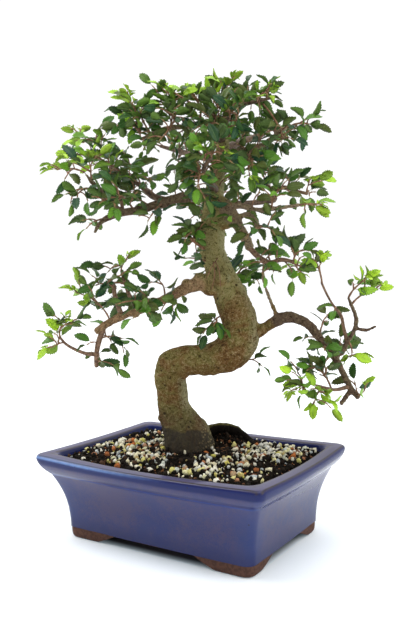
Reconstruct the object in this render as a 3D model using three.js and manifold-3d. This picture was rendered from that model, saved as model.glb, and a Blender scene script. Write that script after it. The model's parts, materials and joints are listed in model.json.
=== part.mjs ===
// A Chinese elm bonsai in its glazed pot, in millimetres, +Z up.
// The S-shaped trunk stands in a plain hole in the soil, and every leafy spray is a
// branchlet with its shoots and leaves fused to it. The pot's length lies along X.
import * as THREE from "three";
import { mergeVertices } from "three/addons/utils/BufferGeometryUtils.js";
import Module from "manifold-3d";

// Pot: half sizes of its foot wall, and how far the wall flares out at each height
const BASE_HALF_LENGTH = 95;
const BASE_HALF_WIDTH = 64;
const FOOT_HEIGHT = 10;
const FLOOR_TOP = 16;
const OUTER_WALL = [
  [10, 0], [28, 1.4], [45, 5.6], [55, 9.9], [60, 13.2], [65, 17.5], [71, 20.2], [75.5, 20.4], [77, 18.6],
];
const INNER_WALL = [[77, 8.4], [75.4, 6.8], [60, 3], [40, -3], [FLOOR_TOP, -7]];
const CORNER_RADIUS = 8.5;
const INNER_CORNER_RADIUS = 11.5;
const RIM_HEIGHT = 77;
const LONG_SIDE_BOW = 3;
const SHORT_SIDE_BOW = 1.5;
const RIM_SAG = 1.6;
const FOOT_ARM_LONG = 58;
const FOOT_ARM_SHORT = 43;
const FOOT_THICKNESS = 13;
const FOOT_CORNER_CUT = 7;
// Rows of each foot: height, how far it is set in, and how much shorter its arms are
const FOOT_ROWS = [[0, 3, 24], [1.5, 1.4, 21], [7, 0.8, 8], [FOOT_HEIGHT + 2, 0.8, 0]];
const DRAIN_RADIUS = 7;
const DRAIN_X = 45;
const SCREEN_HALF = 11;
const SCREEN_THICKNESS = 1;

// Soil: its surface rises from the wall to the middle, and is heaped under the arched root
const SOIL_EDGE = 72;
const SOIL_CROWN = 4;
const HEAP = { u: 27, d: 31, height: 11, reachU: 24, reachD: 11 };
const SOIL_ROWS = [0.96, 0.8, 0.6, 0.4, 0.2];
const GRAIN_COUNT = 34;
const GRAIN_RADIUS = 3.2;
const CLEARANCE = 0.3;

// The tree's own frame is turned about the pot's centre: u to its right, d away from its front
const TREE_TURN = THREE.MathUtils.degToRad(32.4);

// Leaves and shoots
const LEAF_LENGTH = 16.5;
const LEAF_LENGTH_RANGE = 4;
const LEAF_ASPECT = 0.46;
const LEAF_SPACING = 5.5;
const LEAF_THICKNESS = 1.2;
const LEAF_STEP = 2;
const PETIOLE_SHARE = 0.2;
const END_LEAF_REACH = 12;
const SHORTEST_SHOOT = 0.5;
const UPWARD_LEAVES = 0.7;
const NODE_LENGTH = 1.8;
const SHOOT_SIDES = 3;
const SHOOT_RADIUS = 0.95;
const SHOOT_TIP_RADIUS = 0.65;
const SHOOT_CLEARANCE = 1.2;
const LEAF_CLEARANCE = 0.5;
const LEAF_ARCH = 0.1;
const LEAF_FOLD = 0.35;
const TRIES = 8;
const THICK_WOOD = 5;
const ROOT_DEPTH = 0.75;
// Where side shoots leave the first one of their row, as shares of it
const FIRST_SIDE_SHOOT = 0.2;
const SIDE_SHOOT_STEP = 0.22;
// Bow of a shoot as a share of its length, and what each try adds to it and turns it by
const SHOOT_BOW = 0.1;
const SHOOT_BOW_RANGE = 0.06;
const BOW_STEP = 0.035;
const BOW_TURN_STEP = 0.8;
const LONG_SHOOT = 30;
// How leaves stand on a shoot: the bare share at its foot, then angles from the shoot and round it
const BARE_FOOT = 0.3;
const BARE_SIDE_FOOT = 0.22;
const END_LEAF_SWING = 0.3;
const LEAF_SPREAD = 0.85;
const LEAF_SPREAD_RANGE = 0.45;
const LEAF_ROUND_RANGE = 0.9;
const LEAF_ROUND_STEP = 0.75;
const END_LEAF_SIZE = 0.85;
// Half outline of a serrate leaf: distance along it and half width, as shares of its length and width
const LEAF_EDGE = [[0.22, 0.34], [0.5, 0.5], [0.56, 0.38], [0.8, 0.3]];
const LEAF_MIDDLE = 0.45;

// Wood that grew as one: points of each centre line [u, d, z, radius]
const WOOD = {
  trunk: [
    [-2, 14, 44, 20], [-2, 14, 71, 23], [-5.5, 14, 86, 22.3], [-12, 14, 100, 17.5], [-16.5, 14, 113, 14.8],
    [-18, 13, 128, 14], [-19, 11, 142, 14.5], [-17, 9, 151, 15], [-10, 6, 156, 14], [3, 3, 157.5, 13.7],
    [19, -2, 158.7, 14.2], [34, -4, 164, 16.5], [43.5, -3, 175, 17.5], [45, 0, 190, 16], [40, 4, 206, 15.5],
    [35, 8, 220, 14.5],
    [29, 11, 234, 13], [24, 12, 248, 11.5], [21, 12, 261, 11.5], [22, 11, 277, 11.5], [24, 10, 293, 10.5],
    [24, 8, 309, 8.5], [27, 5, 326, 7], [32, 2, 343, 6], [31, 0, 359, 4.5], [27, -2, 372, 3],
  ],
  arched_root: [
    [2, 20, 78, 8], [15, 27, 87, 5.5], [28, 30, 89.5, 4.5], [42, 31, 85.5, 4.5], [52, 31, 77, 4],
    [60, 31, 62, 3.5],
  ],
  left_low: [
    [29, 10, 229, 8], [17, 4, 229, 8], [6, 0, 226, 6.3], [-5, -4, 221.5, 5], [-22, -9, 213, 4.3],
    [-39, -13, 206, 4], [-55, -17, 201, 3.5], [-70, -20, 194, 3.5], [-80, -22, 187, 3],
  ],
  right_low: [
    [46, 0, 182, 8], [59, -3, 184, 7], [68, -6, 187, 5], [79, -11, 194, 5], [89, -15, 196, 5],
    [98, -19, 193, 4.5], [106, -22, 187, 4], [115, -26, 175, 3.5], [122, -29, 165, 3.5], [128, -31, 155, 3],
    [134, -33, 142, 2.5], [138, -34, 134, 2.5], [143, -34, 128, 3],
  ],
  right_low_stub: [[137, -34, 133, 2], [128, -38, 123, 2]],
  right_low_rise: [
    [123, -29, 164, 3], [131, -30, 166, 2.5], [135, -31, 175, 2.5], [141, -33, 186, 2], [142, -34, 195, 2],
    [138, -36, 206, 2], [135, -38, 213, 1.5],
  ],
  right_low_spur: [[141, -33, 187, 1.5], [149, -36, 185, 1.5], [158, -38, 188, 1]],
  right_low_shoot: [[78, -11, 195, 2.5], [71, -16, 211, 2], [66, -20, 225, 1.5], [64, -24, 236, 1.5]],
  left_high: [
    [25, 8, 304, 6.5], [14, 3, 305, 5], [2, -2, 304, 4.8], [-9, -6, 302, 4.6], [-24, -11, 297, 4.3],
    [-39, -16, 292, 3.8], [-56, -21, 289, 3.2], [-69, -24, 284, 2.6], [-75, -26, 279, 2],
    [-79, -27, 272, 1.5],
  ],
  left_high_knuckle: [
    [-56, -21, 290, 3], [-64, -24, 294, 3], [-69, -27, 299, 2.5], [-71, -31, 307, 2], [-79, -36, 314, 1.5],
    [-84, -40, 321, 1],
  ],
  right_stub: [
    [28, 8, 296, 6.5], [37, -2, 291, 6], [44, -10, 278, 5], [49, -14, 268, 4.5], [54, -17, 257, 4],
  ],
  mid_right_upper: [[43, -8, 284, 3], [52, -16, 286, 2.5], [58, -22, 280, 2.5], [63, -27, 269, 2]],
  right_mid: [
    [26, 7, 301, 5.5], [39, -12, 295, 4], [51, -20, 292, 3], [60, -25, 289, 2], [72, -30, 289, 2],
    [84, -34, 290, 1.5], [95, -38, 291, 1.5],
  ],
  crown_left: [
    [31, 0, 357, 4.5], [18, -6, 366, 3], [4, -12, 363, 2.5], [-12, -18, 361, 2.5], [-26, -23, 356, 2],
    [-38, -27, 350, 1.5],
  ],
  crown_mid_right: [
    [32, 4, 338, 4.5], [45, -6, 342, 3], [58, -12, 344, 2.5], [68, -17, 346, 2.5], [75, -20, 351, 2],
    [81, -23, 356, 2], [87, -25, 358, 1.5],
  ],
};

// Thinner limbs, each fused in the node of the spray that grows on it
const LIMBS = {
  left_low_drop: [[-74, -21, 191, 2.5], [-79, -22, 177, 2.5], [-81, -23, 165, 2], [-81, -23, 157, 2]],
  left_low_reach: [[-80, -23, 167, 2], [-91, -27, 169, 1.5], [-104, -30, 176, 1.2], [-110, -32, 183, 1]],
  left_low_rise_front: [[-59, -17, 200, 2.5], [-62, -20, 211, 2], [-64, -22, 219, 2], [-64, -24, 227, 1.5]],
  left_low_rise_back: [[-48, -15, 204, 2.5], [-51, -10, 213, 2], [-56, -6, 226, 1.5], [-60, -4, 239, 1]],
  right_low_cluster: [[136, -34, 137, 2], [124, -38, 135, 1.5], [115, -42, 137, 1.5], [107, -45, 140, 1]],
  right_low_rise_back: [
    [135, -31, 175, 2], [133, -27, 186, 1.5], [131, -25, 197, 1.5], [124, -24, 207, 1], [119, -24, 216, 1],
    [115, -24, 225, 1],
  ],
  left_high_mid: [
    [-17, -9, 300, 3], [-29, -3, 304, 3], [-35, 1, 309, 3], [-42, 6, 315, 2], [-55, 12, 325, 2],
    [-69, 17, 333, 1.5],
  ],
  left_high_inner: [[-55, -20, 290, 1.5], [-58, -17, 302, 1.5], [-65, -16, 314, 1]],
  mid_right: [
    [52, -17, 259, 2.5], [61, -20, 249, 2.5], [71, -23, 244, 2], [80, -26, 246, 2], [90, -29, 244, 1.5],
  ],
  right_mid_back: [
    [34, -4, 297, 3], [52, 6, 298, 2.5], [70, 14, 300, 2.5], [80, 18, 303, 2], [72, 26, 319, 1.5],
  ],
  right_mid_out: [[77, 19, 306, 2], [87, 18, 313, 2], [99, 14, 309, 1.5], [108, 10, 306, 1.5]],
  crown_right: [
    [29, -1, 366, 3], [42, -8, 380, 2.5], [54, -13, 382, 2], [64, -18, 383, 1.5], [75, -22, 384, 1],
  ],
  back_low: [[37, 10, 218, 6.5], [43, 40, 223, 4.5], [37, 62, 232, 3], [24, 82, 239, 2]],
  back_mid: [[23, 11, 270, 6.5], [15, 40, 281, 4.5], [21, 62, 295, 3], [33, 84, 309, 2]],
  back_high: [[27, 6, 323, 4.5], [38, 30, 335, 3.5], [46, 52, 348, 2.5], [40, 72, 364, 2]],
  back_left_high: [[30, 4, 335, 4], [8, 28, 345, 3], [-9, 48, 353, 2.5], [-27, 64, 361, 1.5]],
  back_right_high: [[31, 2, 345, 4], [55, 30, 359, 3], [73, 52, 368, 2]],
  front_high: [[25, 8, 309, 4.5], [20, -22, 315, 3], [15, -42, 321, 2], [21, -60, 328, 1.5]],
  front_crown: [[31, 0, 353, 3.5], [32, -26, 358, 2], [37, -44, 363, 1.5]],
};

// Knots, burrs and healed cuts on the bark [u, d, z, radius]
const KNOTS = [
  [-28, 8, 104, 3.6], [-6, 5, 146, 5.5], [20.5, -8, 149, 4], [30, -2, 231, 7], [20, 1, 221, 6.5],
  [34, 3, 281, 6.5], [50, -12, 266, 4.5],
];

// Sprays: the limbs they include, then where each shoot leaves its limb and the tips that it and
// its side shoots reach
const SPRAYS = {
  low_left_tip: {
    limbs: ["left_low_drop", "left_low_reach"],
    shoots: [
      ["left_low_reach", 0.8, [-125, -38, 172], [-111, -18, 188]],
      ["left_low_reach", 1, [-106, -34, 205], [-89, -50, 200]],
      ["left_low_drop", 0.25, [-49, -6, 179]],
      ["left_low_drop", 0.9, [-70, -38, 164]],
    ],
  },
  low_left_lime: { shoots: [["left_low", 0.86, [-105, -30, 229]]] },
  low_left_upper: {
    limbs: ["left_low_rise_back"],
    shoots: [
      ["left_low_rise_back", 1, [-51, -2, 257], [-82, 14, 236]],
      ["left_low_rise_back", 0.55, [-61, -22, 239], [-85, 0, 224]],
    ],
  },
  low_left_inner: {
    limbs: ["left_low_rise_front"],
    shoots: [["left_low_rise_front", 0.9, [-89, -36, 229], [-46, -32, 241]]],
  },
  low_left_slip: { shoots: [["left_low", 0.5, [-30, -24, 242]]] },
  low_left_drop: { shoots: [["left_low", 0.36, [-32, -24, 197], [-6, -30, 203]]] },
  low_left_back: { shoots: [["left_low", 0.66, [-70, 44, 212], [-92, 30, 207]]] },
  low_left_front: { shoots: [["left_low", 0.58, [-47, -70, 198], [-66, -62, 212]]] },
  low_left_near: { shoots: [["left_low", 0.3, [-22, 26, 200]]] },
  low_right_lime: { shoots: [["right_low_rise", 1, [155, -48, 236]]] },
  low_right_far: { shoots: [["right_low_rise", 0.85, [168, -44, 226]]] },
  low_right_upper: {
    limbs: ["right_low_rise_back"],
    shoots: [
      ["right_low_rise_back", 1, [105, -22, 257], [114, -34, 251]],
      ["right_low_rise_back", 0.55, [122, -44, 200]],
    ],
  },
  low_right_end: { shoots: [["right_low", 0.97, [155, -44, 139], [142, -14, 146]]] },
  low_right_cluster: {
    limbs: ["right_low_cluster"],
    shoots: [
      ["right_low_cluster", 1, [77, -58, 137], [88, -62, 129]],
      ["right_low_cluster", 0.75, [98, -44, 117], [110, -60, 136]],
      ["right_low_cluster", 0.5, [93, -46, 167], [115, -60, 163]],
    ],
  },
  low_right_mid: { shoots: [["right_low", 0.55, [115, 2, 170], [136, 14, 206]]] },
  low_right_curl: { shoots: [["right_low_rise", 0.35, [140, -26, 150]]] },
  low_right_back: { shoots: [["right_low", 0.72, [146, 36, 168]]] },
  low_right_front: { shoots: [["right_low", 0.66, [107, -72, 173]]] },
  trunk_side: { shoots: [["trunk", 0.44, [73, 8, 158]]] },
  left_lime: { shoots: [["left_high_knuckle", 1, [-118, -46, 324]]] },
  left_low_leafy: { shoots: [["left_high_knuckle", 0.6, [-113, -34, 303], [-94, -54, 294]]] },
  left_top: {
    limbs: ["left_high_mid"],
    shoots: [
      ["left_high_mid", 1, [-110, 22, 375], [-94, 40, 365]],
      ["left_high_mid", 0.85, [-112, 2, 348]],
      ["left_high_mid", 0.6, [-82, 58, 336], [-60, 44, 350]],
      ["left_high_mid", 0.3, [-40, -34, 326]],
    ],
  },
  left_hanging: { shoots: [["left_high", 0.78, [-98, -14, 272]]] },
  left_under: { shoots: [["left_high", 0.42, [-40, -30, 273], [-31, -16, 284]]] },
  left_knee: { shoots: [["left_high_knuckle", 0.8, [-78, -56, 338], [-96, -66, 329]]] },
  left_back: { shoots: [["left_high", 0.5, [-67, 40, 311], [-89, 24, 305]]] },
  left_front: { shoots: [["left_high", 0.6, [-57, -74, 299], [-78, -64, 291]]] },
  left_inner: {
    limbs: ["left_high_inner"],
    shoots: [["left_high_inner", 1, [-79, -10, 326], [-59, -26, 335]]],
  },
  crown_left_lime: { shoots: [["crown_left", 1, [-48, -38, 393], [-47, -50, 376]]] },
  crown_left_back: { shoots: [["crown_left", 0.85, [-44, 6, 388]]] },
  crown_left_top: { shoots: [["crown_left", 0.62, [-15, -16, 403], [-31, -2, 392]]] },
  crown_left_front: { shoots: [["crown_left", 0.5, [-11, -56, 369], [-24, -62, 336]]] },
  crown_middle: { shoots: [["crown_left", 0.28, [4, -2, 406], [1, -26, 396]]] },
  crown_apex: { shoots: [["trunk", 1, [45, -4, 413], [31, 14, 397]]] },
  crown_right: {
    limbs: ["crown_right"],
    shoots: [
      ["crown_right", 0.7, [76, -28, 394], [61, -34, 369]],
      ["crown_right", 0.5, [57, 2, 397], [69, 18, 389]],
    ],
  },
  crown_right_far: { shoots: [["crown_mid_right", 1, [120, -34, 358], [92, -12, 355]]] },
  crown_right_low: { shoots: [["crown_mid_right", 0.8, [83, -36, 338]]] },
  crown_right_front: { shoots: [["crown_mid_right", 0.42, [50, -50, 308], [56, -56, 318]]] },
  right_out: {
    limbs: ["right_mid_back", "right_mid_out"],
    shoots: [
      ["right_mid_out", 1, [111, 14, 322], [114, 22, 300]],
      ["right_mid_out", 0.45, [102, 30, 330], [87, 6, 329]],
      ["right_mid_back", 1, [63, 44, 341], [86, 46, 331]],
    ],
  },
  right_end: { shoots: [["right_mid", 1, [115, -48, 289], [99, -32, 282]]] },
  right_front: { shoots: [["right_mid", 0.66, [73, -62, 304], [90, -54, 302]]] },
  mid_right: {
    limbs: ["mid_right"],
    shoots: [
      ["mid_right", 1, [102, -38, 263], [83, -22, 275]],
      ["mid_right", 0.9, [110, -36, 235], [98, -12, 232]],
      ["mid_right", 0.5, [80, 14, 256]],
      ["mid_right", 0.4, [61, -50, 227]],
    ],
  },
  stub: { shoots: [["mid_right_upper", 0.8, [80, -50, 262], [40, -44, 258]]] },
  trunk_left_upper: { shoots: [["trunk", 0.72, [-9, -16, 268], [1, -34, 273]]] },
  trunk_left_lower: { shoots: [["trunk", 0.67, [-12, -14, 251]]] },
  trunk_hanging: { shoots: [["trunk", 0.56, [7, -20, 176], [20, -34, 187]]] },
  back_low: {
    limbs: ["back_low"],
    shoots: [
      ["back_low", 1, [5, 104, 248], [36, 108, 254]],
      ["back_low", 0.6, [72, 78, 237], [60, 56, 250]],
    ],
  },
  back_mid: {
    limbs: ["back_mid"],
    shoots: [
      ["back_mid", 1, [15, 104, 325], [52, 108, 322]],
      ["back_mid", 0.6, [-11, 70, 305], [-28, 50, 317]],
    ],
  },
  back_high: {
    limbs: ["back_high"],
    shoots: [
      ["back_high", 1, [40, 88, 392], [64, 86, 376]],
      ["back_high", 0.6, [78, 66, 346], [67, 78, 330]],
    ],
  },
  back_left: {
    limbs: ["back_left_high"],
    shoots: [
      ["back_left_high", 1, [-55, 72, 367], [-36, 50, 378]],
      ["back_left_high", 0.55, [-13, 72, 337], [2, 62, 374]],
    ],
  },
  back_right: {
    limbs: ["back_right_high"],
    shoots: [["back_right_high", 1, [98, 66, 375], [84, 44, 387]]],
  },
  front_high: {
    limbs: ["front_high"],
    shoots: [
      ["front_high", 1, [17, -78, 334], [37, -80, 330]],
      ["front_high", 0.6, [-2, -62, 315], [9, -72, 296]],
    ],
  },
  front_crown: {
    limbs: ["front_crown"],
    shoots: [
      ["front_crown", 1, [37, -58, 374], [50, -62, 357]],
      ["front_crown", 0.55, [13, -62, 353], [20, -20, 380]],
    ],
  },
};

const wasm = await Module();
wasm.setup();
const UP = new THREE.Vector3(0, 0, 1);
const vec = (p) => new THREE.Vector3(p[0], p[1], p[2]);

// A repeatable draw from 0 to 1 for a set of whole numbers
function draw(a, b, c) {
  const value = Math.sin(a * 12.9898 + b * 78.233 + c * 37.719) * 43758.5453;
  return value - Math.floor(value);
}

// Turns a closed geometry into a solid for cutting and joining
function solidOf(geometry) {
  const bare = geometry.clone();
  bare.deleteAttribute("normal");
  bare.deleteAttribute("uv");
  const merged = mergeVertices(bare, 1e-4);
  return new wasm.Manifold(
    new wasm.Mesh({
      numProp: 3,
      vertProperties: new Float32Array(merged.attributes.position.array),
      triVerts: new Uint32Array(merged.index.array),
    }),
  );
}

// Turns a solid back into a geometry with flat shaded faces
function geometryOf(solid) {
  const mesh = solid.getMesh();
  const geometry = new THREE.BufferGeometry();
  geometry.setAttribute("position", new THREE.BufferAttribute(new Float32Array(mesh.vertProperties), 3));
  geometry.setIndex(new THREE.BufferAttribute(new Uint32Array(mesh.triVerts), 1));
  geometry.computeVertexNormals();
  return geometry;
}

function geometryFrom(points, faces) {
  const geometry = new THREE.BufferGeometry();
  const places = points.flatMap((p) => [p.x, p.y, p.z]);
  geometry.setAttribute("position", new THREE.Float32BufferAttribute(places, 3));
  geometry.setIndex(faces.flat());
  return geometry;
}

// A closed skin over rings of equal length, each end closed by a fan round its middle
function loft(rings, startMiddle, endMiddle) {
  const count = rings[0].length;
  const points = [...rings.flat(), startMiddle, endMiddle];
  const start = points.length - 2;
  const end = points.length - 1;
  const last = (rings.length - 1) * count;
  const faces = [];
  for (let i = 0; i < count; i++) {
    const next = (i + 1) % count;
    for (let r = 0; r < rings.length - 1; r++) {
      const low = r * count;
      const high = low + count;
      faces.push([low + i, low + next, high + next], [low + i, high + next, high + i]);
    }
    faces.push([start, next, i], [end, last + i, last + next]);
  }
  return geometryFrom(points, faces);
}

// The nearest distance between two stretches a-b and c-d
function distanceBetween(a, b, c, d) {
  const u = b.clone().sub(a);
  const v = d.clone().sub(c);
  const w = a.clone().sub(c);
  const uu = u.dot(u);
  const uv = u.dot(v);
  const vv = v.dot(v);
  const uw = u.dot(w);
  const vw = v.dot(w);
  const area = uu * vv - uv * uv;
  const clamp = (x) => Math.min(1, Math.max(0, x));
  let s = area > 1e-9 ? clamp((uv * vw - vv * uw) / area) : 0;
  const t = clamp((uv * s + vw) / vv);
  s = clamp((uv * t - uw) / uu);
  return w.add(u.multiplyScalar(s)).sub(v.multiplyScalar(t)).length();
}

// Rings of a round limb through points with a radius at each; their planes follow the bends
function limbRings(points, radii, sides) {
  const tangents = points.map((p, i) =>
    points[Math.min(i + 1, points.length - 1)].clone().sub(points[Math.max(i - 1, 0)]).normalize(),
  );
  let across = new THREE.Vector3(0.31, 0.9, 0.3).cross(tangents[0]).normalize();
  return points.map((p, i) => {
    across = across.clone().addScaledVector(tangents[i], -across.dot(tangents[i])).normalize();
    const other = tangents[i].clone().cross(across);
    return Array.from({ length: sides }, (_, k) => {
      const angle = (2 * Math.PI * k) / sides;
      return p.clone()
        .addScaledVector(across, radii[i] * Math.cos(angle))
        .addScaledVector(other, radii[i] * Math.sin(angle));
    });
  });
}

// A limb closed at both ends by low points
function limb(points, radii, sides) {
  const final = points.length - 1;
  const beyond = (from, to, reach) => to.clone().addScaledVector(to.clone().sub(from).normalize(), reach);
  const startMiddle = beyond(points[1], points[0], 0.3 * radii[0]);
  const endMiddle = beyond(points[final - 1], points[final], 0.5 * radii[final]);
  return solidOf(loft(limbRings(points, radii, sides), startMiddle, endMiddle));
}

const woodSides = (radius) => (radius > 15 ? 10 : radius > 3.4 ? 5 : 4);

function woodLimb(points, growth) {
  const radii = points.map((p) => p[3] + growth);
  return limb(points.map(vec), radii, woodSides(Math.max(...points.map((p) => p[3]))));
}

function knot([u, d, z, radius], growth) {
  const ball = new THREE.IcosahedronGeometry(radius + growth, 0);
  ball.translate(u, d, z);
  return solidOf(ball);
}

// The trunk with its main limbs, arched root and knots, grown by a clearance where asked
function wholeWood(growth) {
  const pieces = Object.values(WOOD).map((points) => woodLimb(points, growth));
  return wasm.Manifold.union([...pieces, ...KNOTS.map((k) => knot(k, growth))]);
}

// Where a shoot starts: a share of the way along a limb's points, and out towards its tip in thick wood
function rootOn(points, share, tip) {
  const at = share * (points.length - 1);
  const i = Math.min(points.length - 2, Math.floor(at));
  const middle = vec(points[i]).lerp(vec(points[i + 1]), at - i);
  const radius = THREE.MathUtils.lerp(points[i][3], points[i + 1][3], at - i);
  const out = radius > THICK_WOOD ? ROOT_DEPTH * radius : 0;
  return middle.addScaledVector(tip.clone().sub(middle).normalize(), out);
}

// A shoot: a bowed line from its root to its tip. Try n turns the bow round and widens it
function shootPath(root, tip, id, n) {
  const along = tip.clone().sub(root);
  const length = along.length();
  along.normalize();
  const side = along.clone().cross(UP);
  if (side.lengthSq() < 0.01) side.set(1, 0, 0);
  side.normalize();
  const lift = side.clone().cross(along);
  const turn = Math.PI * (0.15 + 0.7 * draw(id, 1, 0)) + n * BOW_TURN_STEP;
  const bow = length * (SHOOT_BOW + SHOOT_BOW_RANGE * draw(id, 2, 0) + BOW_STEP * n);
  const bend = root.clone().lerp(tip, 0.5)
    .addScaledVector(side, 2 * bow * Math.cos(turn))
    .addScaledVector(lift, 2 * bow * Math.sin(turn));
  const curve = new THREE.QuadraticBezierCurve3(root, bend, tip);
  const steps = length > LONG_SHOOT ? 3 : 2;
  const points = Array.from({ length: steps + 1 }, (_, i) => curve.getPoint(i / steps));
  return { curve, length, id, points };
}

const woodStretches = [];
for (const [name, points] of Object.entries({ ...WOOD, ...LIMBS }))
  for (let i = 0; i < points.length - 1; i++)
    woodStretches.push({
      name, a: vec(points[i]), b: vec(points[i + 1]), radius: Math.max(points[i][3], points[i + 1][3]),
    });
const shootStretches = [];

// True if a path keeps clear of all wood and all shoots placed so far, its own first stretch apart
function pathIsClear(path, parentName, family) {
  for (let i = 0; i < path.points.length - 1; i++) {
    const a = path.points[i];
    const b = path.points[i + 1];
    for (const w of woodStretches) {
      if (i === 0 && (w.name === parentName || w.a.distanceTo(a) < w.radius * 2.5 + 4)) continue;
      if (distanceBetween(a, b, w.a, w.b) < w.radius + SHOOT_RADIUS + SHOOT_CLEARANCE) return false;
    }
    for (const s of shootStretches) {
      if (s.family === family) continue;
      if (distanceBetween(a, b, s.a, s.b) < 2 * SHOOT_RADIUS + SHOOT_CLEARANCE) return false;
    }
  }
  return true;
}

// Every shoot of every spray, the first of each row from its limb and the others from that first one.
// A tip is where the end leaf reaches, so its shoot stops short of it
const shoots = [];
Object.entries(SPRAYS).forEach(([family, spray]) => {
  for (const [parent, share, ...tips] of spray.shoots) {
    let lead = null;
    tips.forEach((tip, k) => {
      const id = shoots.length + 1;
      const root = lead
        ? lead.curve.getPoint(FIRST_SIDE_SHOOT + SIDE_SHOOT_STEP * k)
        : rootOn(WOOD[parent] ?? LIMBS[parent], share, vec(tip));
      const reach = Math.max(SHORTEST_SHOOT, 1 - END_LEAF_REACH / root.distanceTo(vec(tip)));
      const end = root.clone().lerp(vec(tip), reach);
      let path = null;
      for (let n = 0; n < TRIES && !path; n++) {
        const candidate = shootPath(root, end, id, n);
        if (pathIsClear(candidate, parent, family)) path = candidate;
      }
      if (!path) return;
      path.family = family;
      path.isLead = !lead;
      path.sideLeaves = [];
      lead = lead ?? path;
      shoots.push(path);
      for (let i = 0; i < path.points.length - 1; i++)
        shootStretches.push({ family, a: path.points[i], b: path.points[i + 1] });
    });
  }
});

// Where leaf number i stands on a shoot: 0 is the end leaf and the rest alternate down both sides
function leafPlace(shoot, i, n) {
  const first = shoot.isLead ? BARE_FOOT : BARE_SIDE_FOOT;
  const share = i === 0 ? 1 : 1 - (i * LEAF_SPACING) / shoot.length;
  if (share < first) return null;
  const base = shoot.curve.getPoint(share);
  const along = shoot.curve.getTangent(share);
  const side = along.clone().cross(UP);
  if (side.lengthSq() < 0.02) side.set(Math.cos(shoot.id), Math.sin(shoot.id), 0);
  side.normalize();
  const lift = side.clone().cross(along);
  const swing = draw(shoot.id, i, 3);
  const spread = i === 0 ? END_LEAF_SWING * (swing - 0.5) : LEAF_SPREAD + LEAF_SPREAD_RANGE * swing;
  const around = LEAF_ROUND_RANGE * (draw(shoot.id, i, 4) - 0.35);
  const round = (i % 2 ? 0 : Math.PI) + around + n * LEAF_ROUND_STEP;
  const away = side.clone().multiplyScalar(Math.cos(round)).addScaledVector(lift, Math.sin(round));
  const direction = along.clone().multiplyScalar(Math.cos(spread)).addScaledVector(away, Math.sin(spread));
  const turn = 2 * Math.PI * draw(shoot.id, i, 5);
  const rise = 2 * draw(shoot.id, i, 6) - 1;
  const level = Math.sqrt(1 - rise * rise);
  const normal = new THREE.Vector3(level * Math.cos(turn), level * Math.sin(turn), rise + UPWARD_LEAVES);
  normal.addScaledVector(direction, -normal.dot(direction));
  if (normal.lengthSq() < 0.05) normal.copy(side);
  const size = i === 0 ? END_LEAF_SIZE : 1;
  const length = size * (LEAF_LENGTH + LEAF_LENGTH_RANGE * draw(shoot.id, i, 7));
  return { base, share, direction: direction.normalize(), normal: normal.normalize(), length };
}

// A serrate leaf folded up from its midrib and bent down to its tip, thickest in the middle.
// Its points run from the right of its base round its tip to the left, then the two middles
function leafPoints({ base, direction, normal, length }, growth) {
  const side = normal.clone().cross(direction);
  const width = length * LEAF_ASPECT + 2 * growth;
  const reach = length + growth;
  const at = (along, out) => {
    const arch = LEAF_ARCH * length * Math.sin(Math.PI * Math.min(1, 1.15 * along));
    const height = arch + LEAF_FOLD * Math.abs(out) * width;
    return base.clone()
      .addScaledVector(direction, along * reach)
      .addScaledVector(side, out * width)
      .addScaledVector(normal, height);
  };
  const right = LEAF_EDGE.map(([along, out]) => at(along, -out));
  const left = LEAF_EDGE.map(([along, out]) => at(along, out)).reverse();
  const half = LEAF_THICKNESS / 2 + growth;
  const middles = [half, -half].map((height) => at(LEAF_MIDDLE, 0).addScaledVector(normal, height));
  return [...right, at(1, 0), ...left, ...middles];
}

const EDGE_COUNT = 2 * LEAF_EDGE.length + 1;

// The faces of both sides of a leaf from its right edge to its left, without those at its base
function leafFaces(first) {
  const top = first + EDGE_COUNT;
  const faces = [];
  for (let i = first; i < first + EDGE_COUNT - 1; i++) faces.push([top, i, i + 1], [top + 1, i + 1, i]);
  return faces;
}

// A leaf by itself, its base drawn to a point: the shoot's middle, or the petiole's end
function leafSolid(leaf, growth, rootShare) {
  const root = leaf.base.clone().addScaledVector(leaf.direction, rootShare * leaf.length);
  const points = [...leafPoints(leaf, growth), root];
  const [last, top, bottom, base] = [EDGE_COUNT - 1, EDGE_COUNT, EDGE_COUNT + 1, EDGE_COUNT + 2];
  const faces = [[top, base, 0], [bottom, 0, base], [top, last, base], [bottom, base, last]];
  return solidOf(geometryFrom(points, [...leafFaces(0), ...faces]));
}

// Adds a leaf to a skin, drawn out of an opening whose corners run round the leaf's direction
function growLeaf(points, faces, opening, leaf) {
  const first = points.length;
  points.push(...leafPoints(leaf, 0));
  faces.push(...leafFaces(first));
  const leafRing = [EDGE_COUNT - 1, EDGE_COUNT, 0, EDGE_COUNT + 1].map((i) => first + i);
  const side = leaf.normal.clone().cross(leaf.direction);
  const centre = new THREE.Vector3();
  for (const i of opening) centre.addScaledVector(points[i], 1 / opening.length);
  const bearings = opening.map((i) => {
    const out = points[i].clone().sub(centre);
    return (Math.atan2(out.dot(leaf.normal), out.dot(side)) + 2 * Math.PI) % (2 * Math.PI);
  });
  const from = bearings.indexOf(Math.min(...bearings));
  const quarter = (2 * Math.PI) / leafRing.length;
  let i = 0;
  let j = 0;
  while (i < opening.length || j < leafRing.length) {
    const a = opening[(from + i) % opening.length];
    const aNext = opening[(from + i + 1) % opening.length];
    const b = leafRing[j % leafRing.length];
    const bNext = leafRing[(j + 1) % leafRing.length];
    const turn = i + 1 < opening.length ? bearings[(from + i + 1) % opening.length] : 2 * Math.PI;
    const takeOpening = i < opening.length && (j === leafRing.length || turn < (j + 1) * quarter);
    faces.push(takeOpening ? [a, aNext, b] : [a, bNext, b]);
    if (takeOpening) i += 1;
    else j += 1;
  }
}

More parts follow.
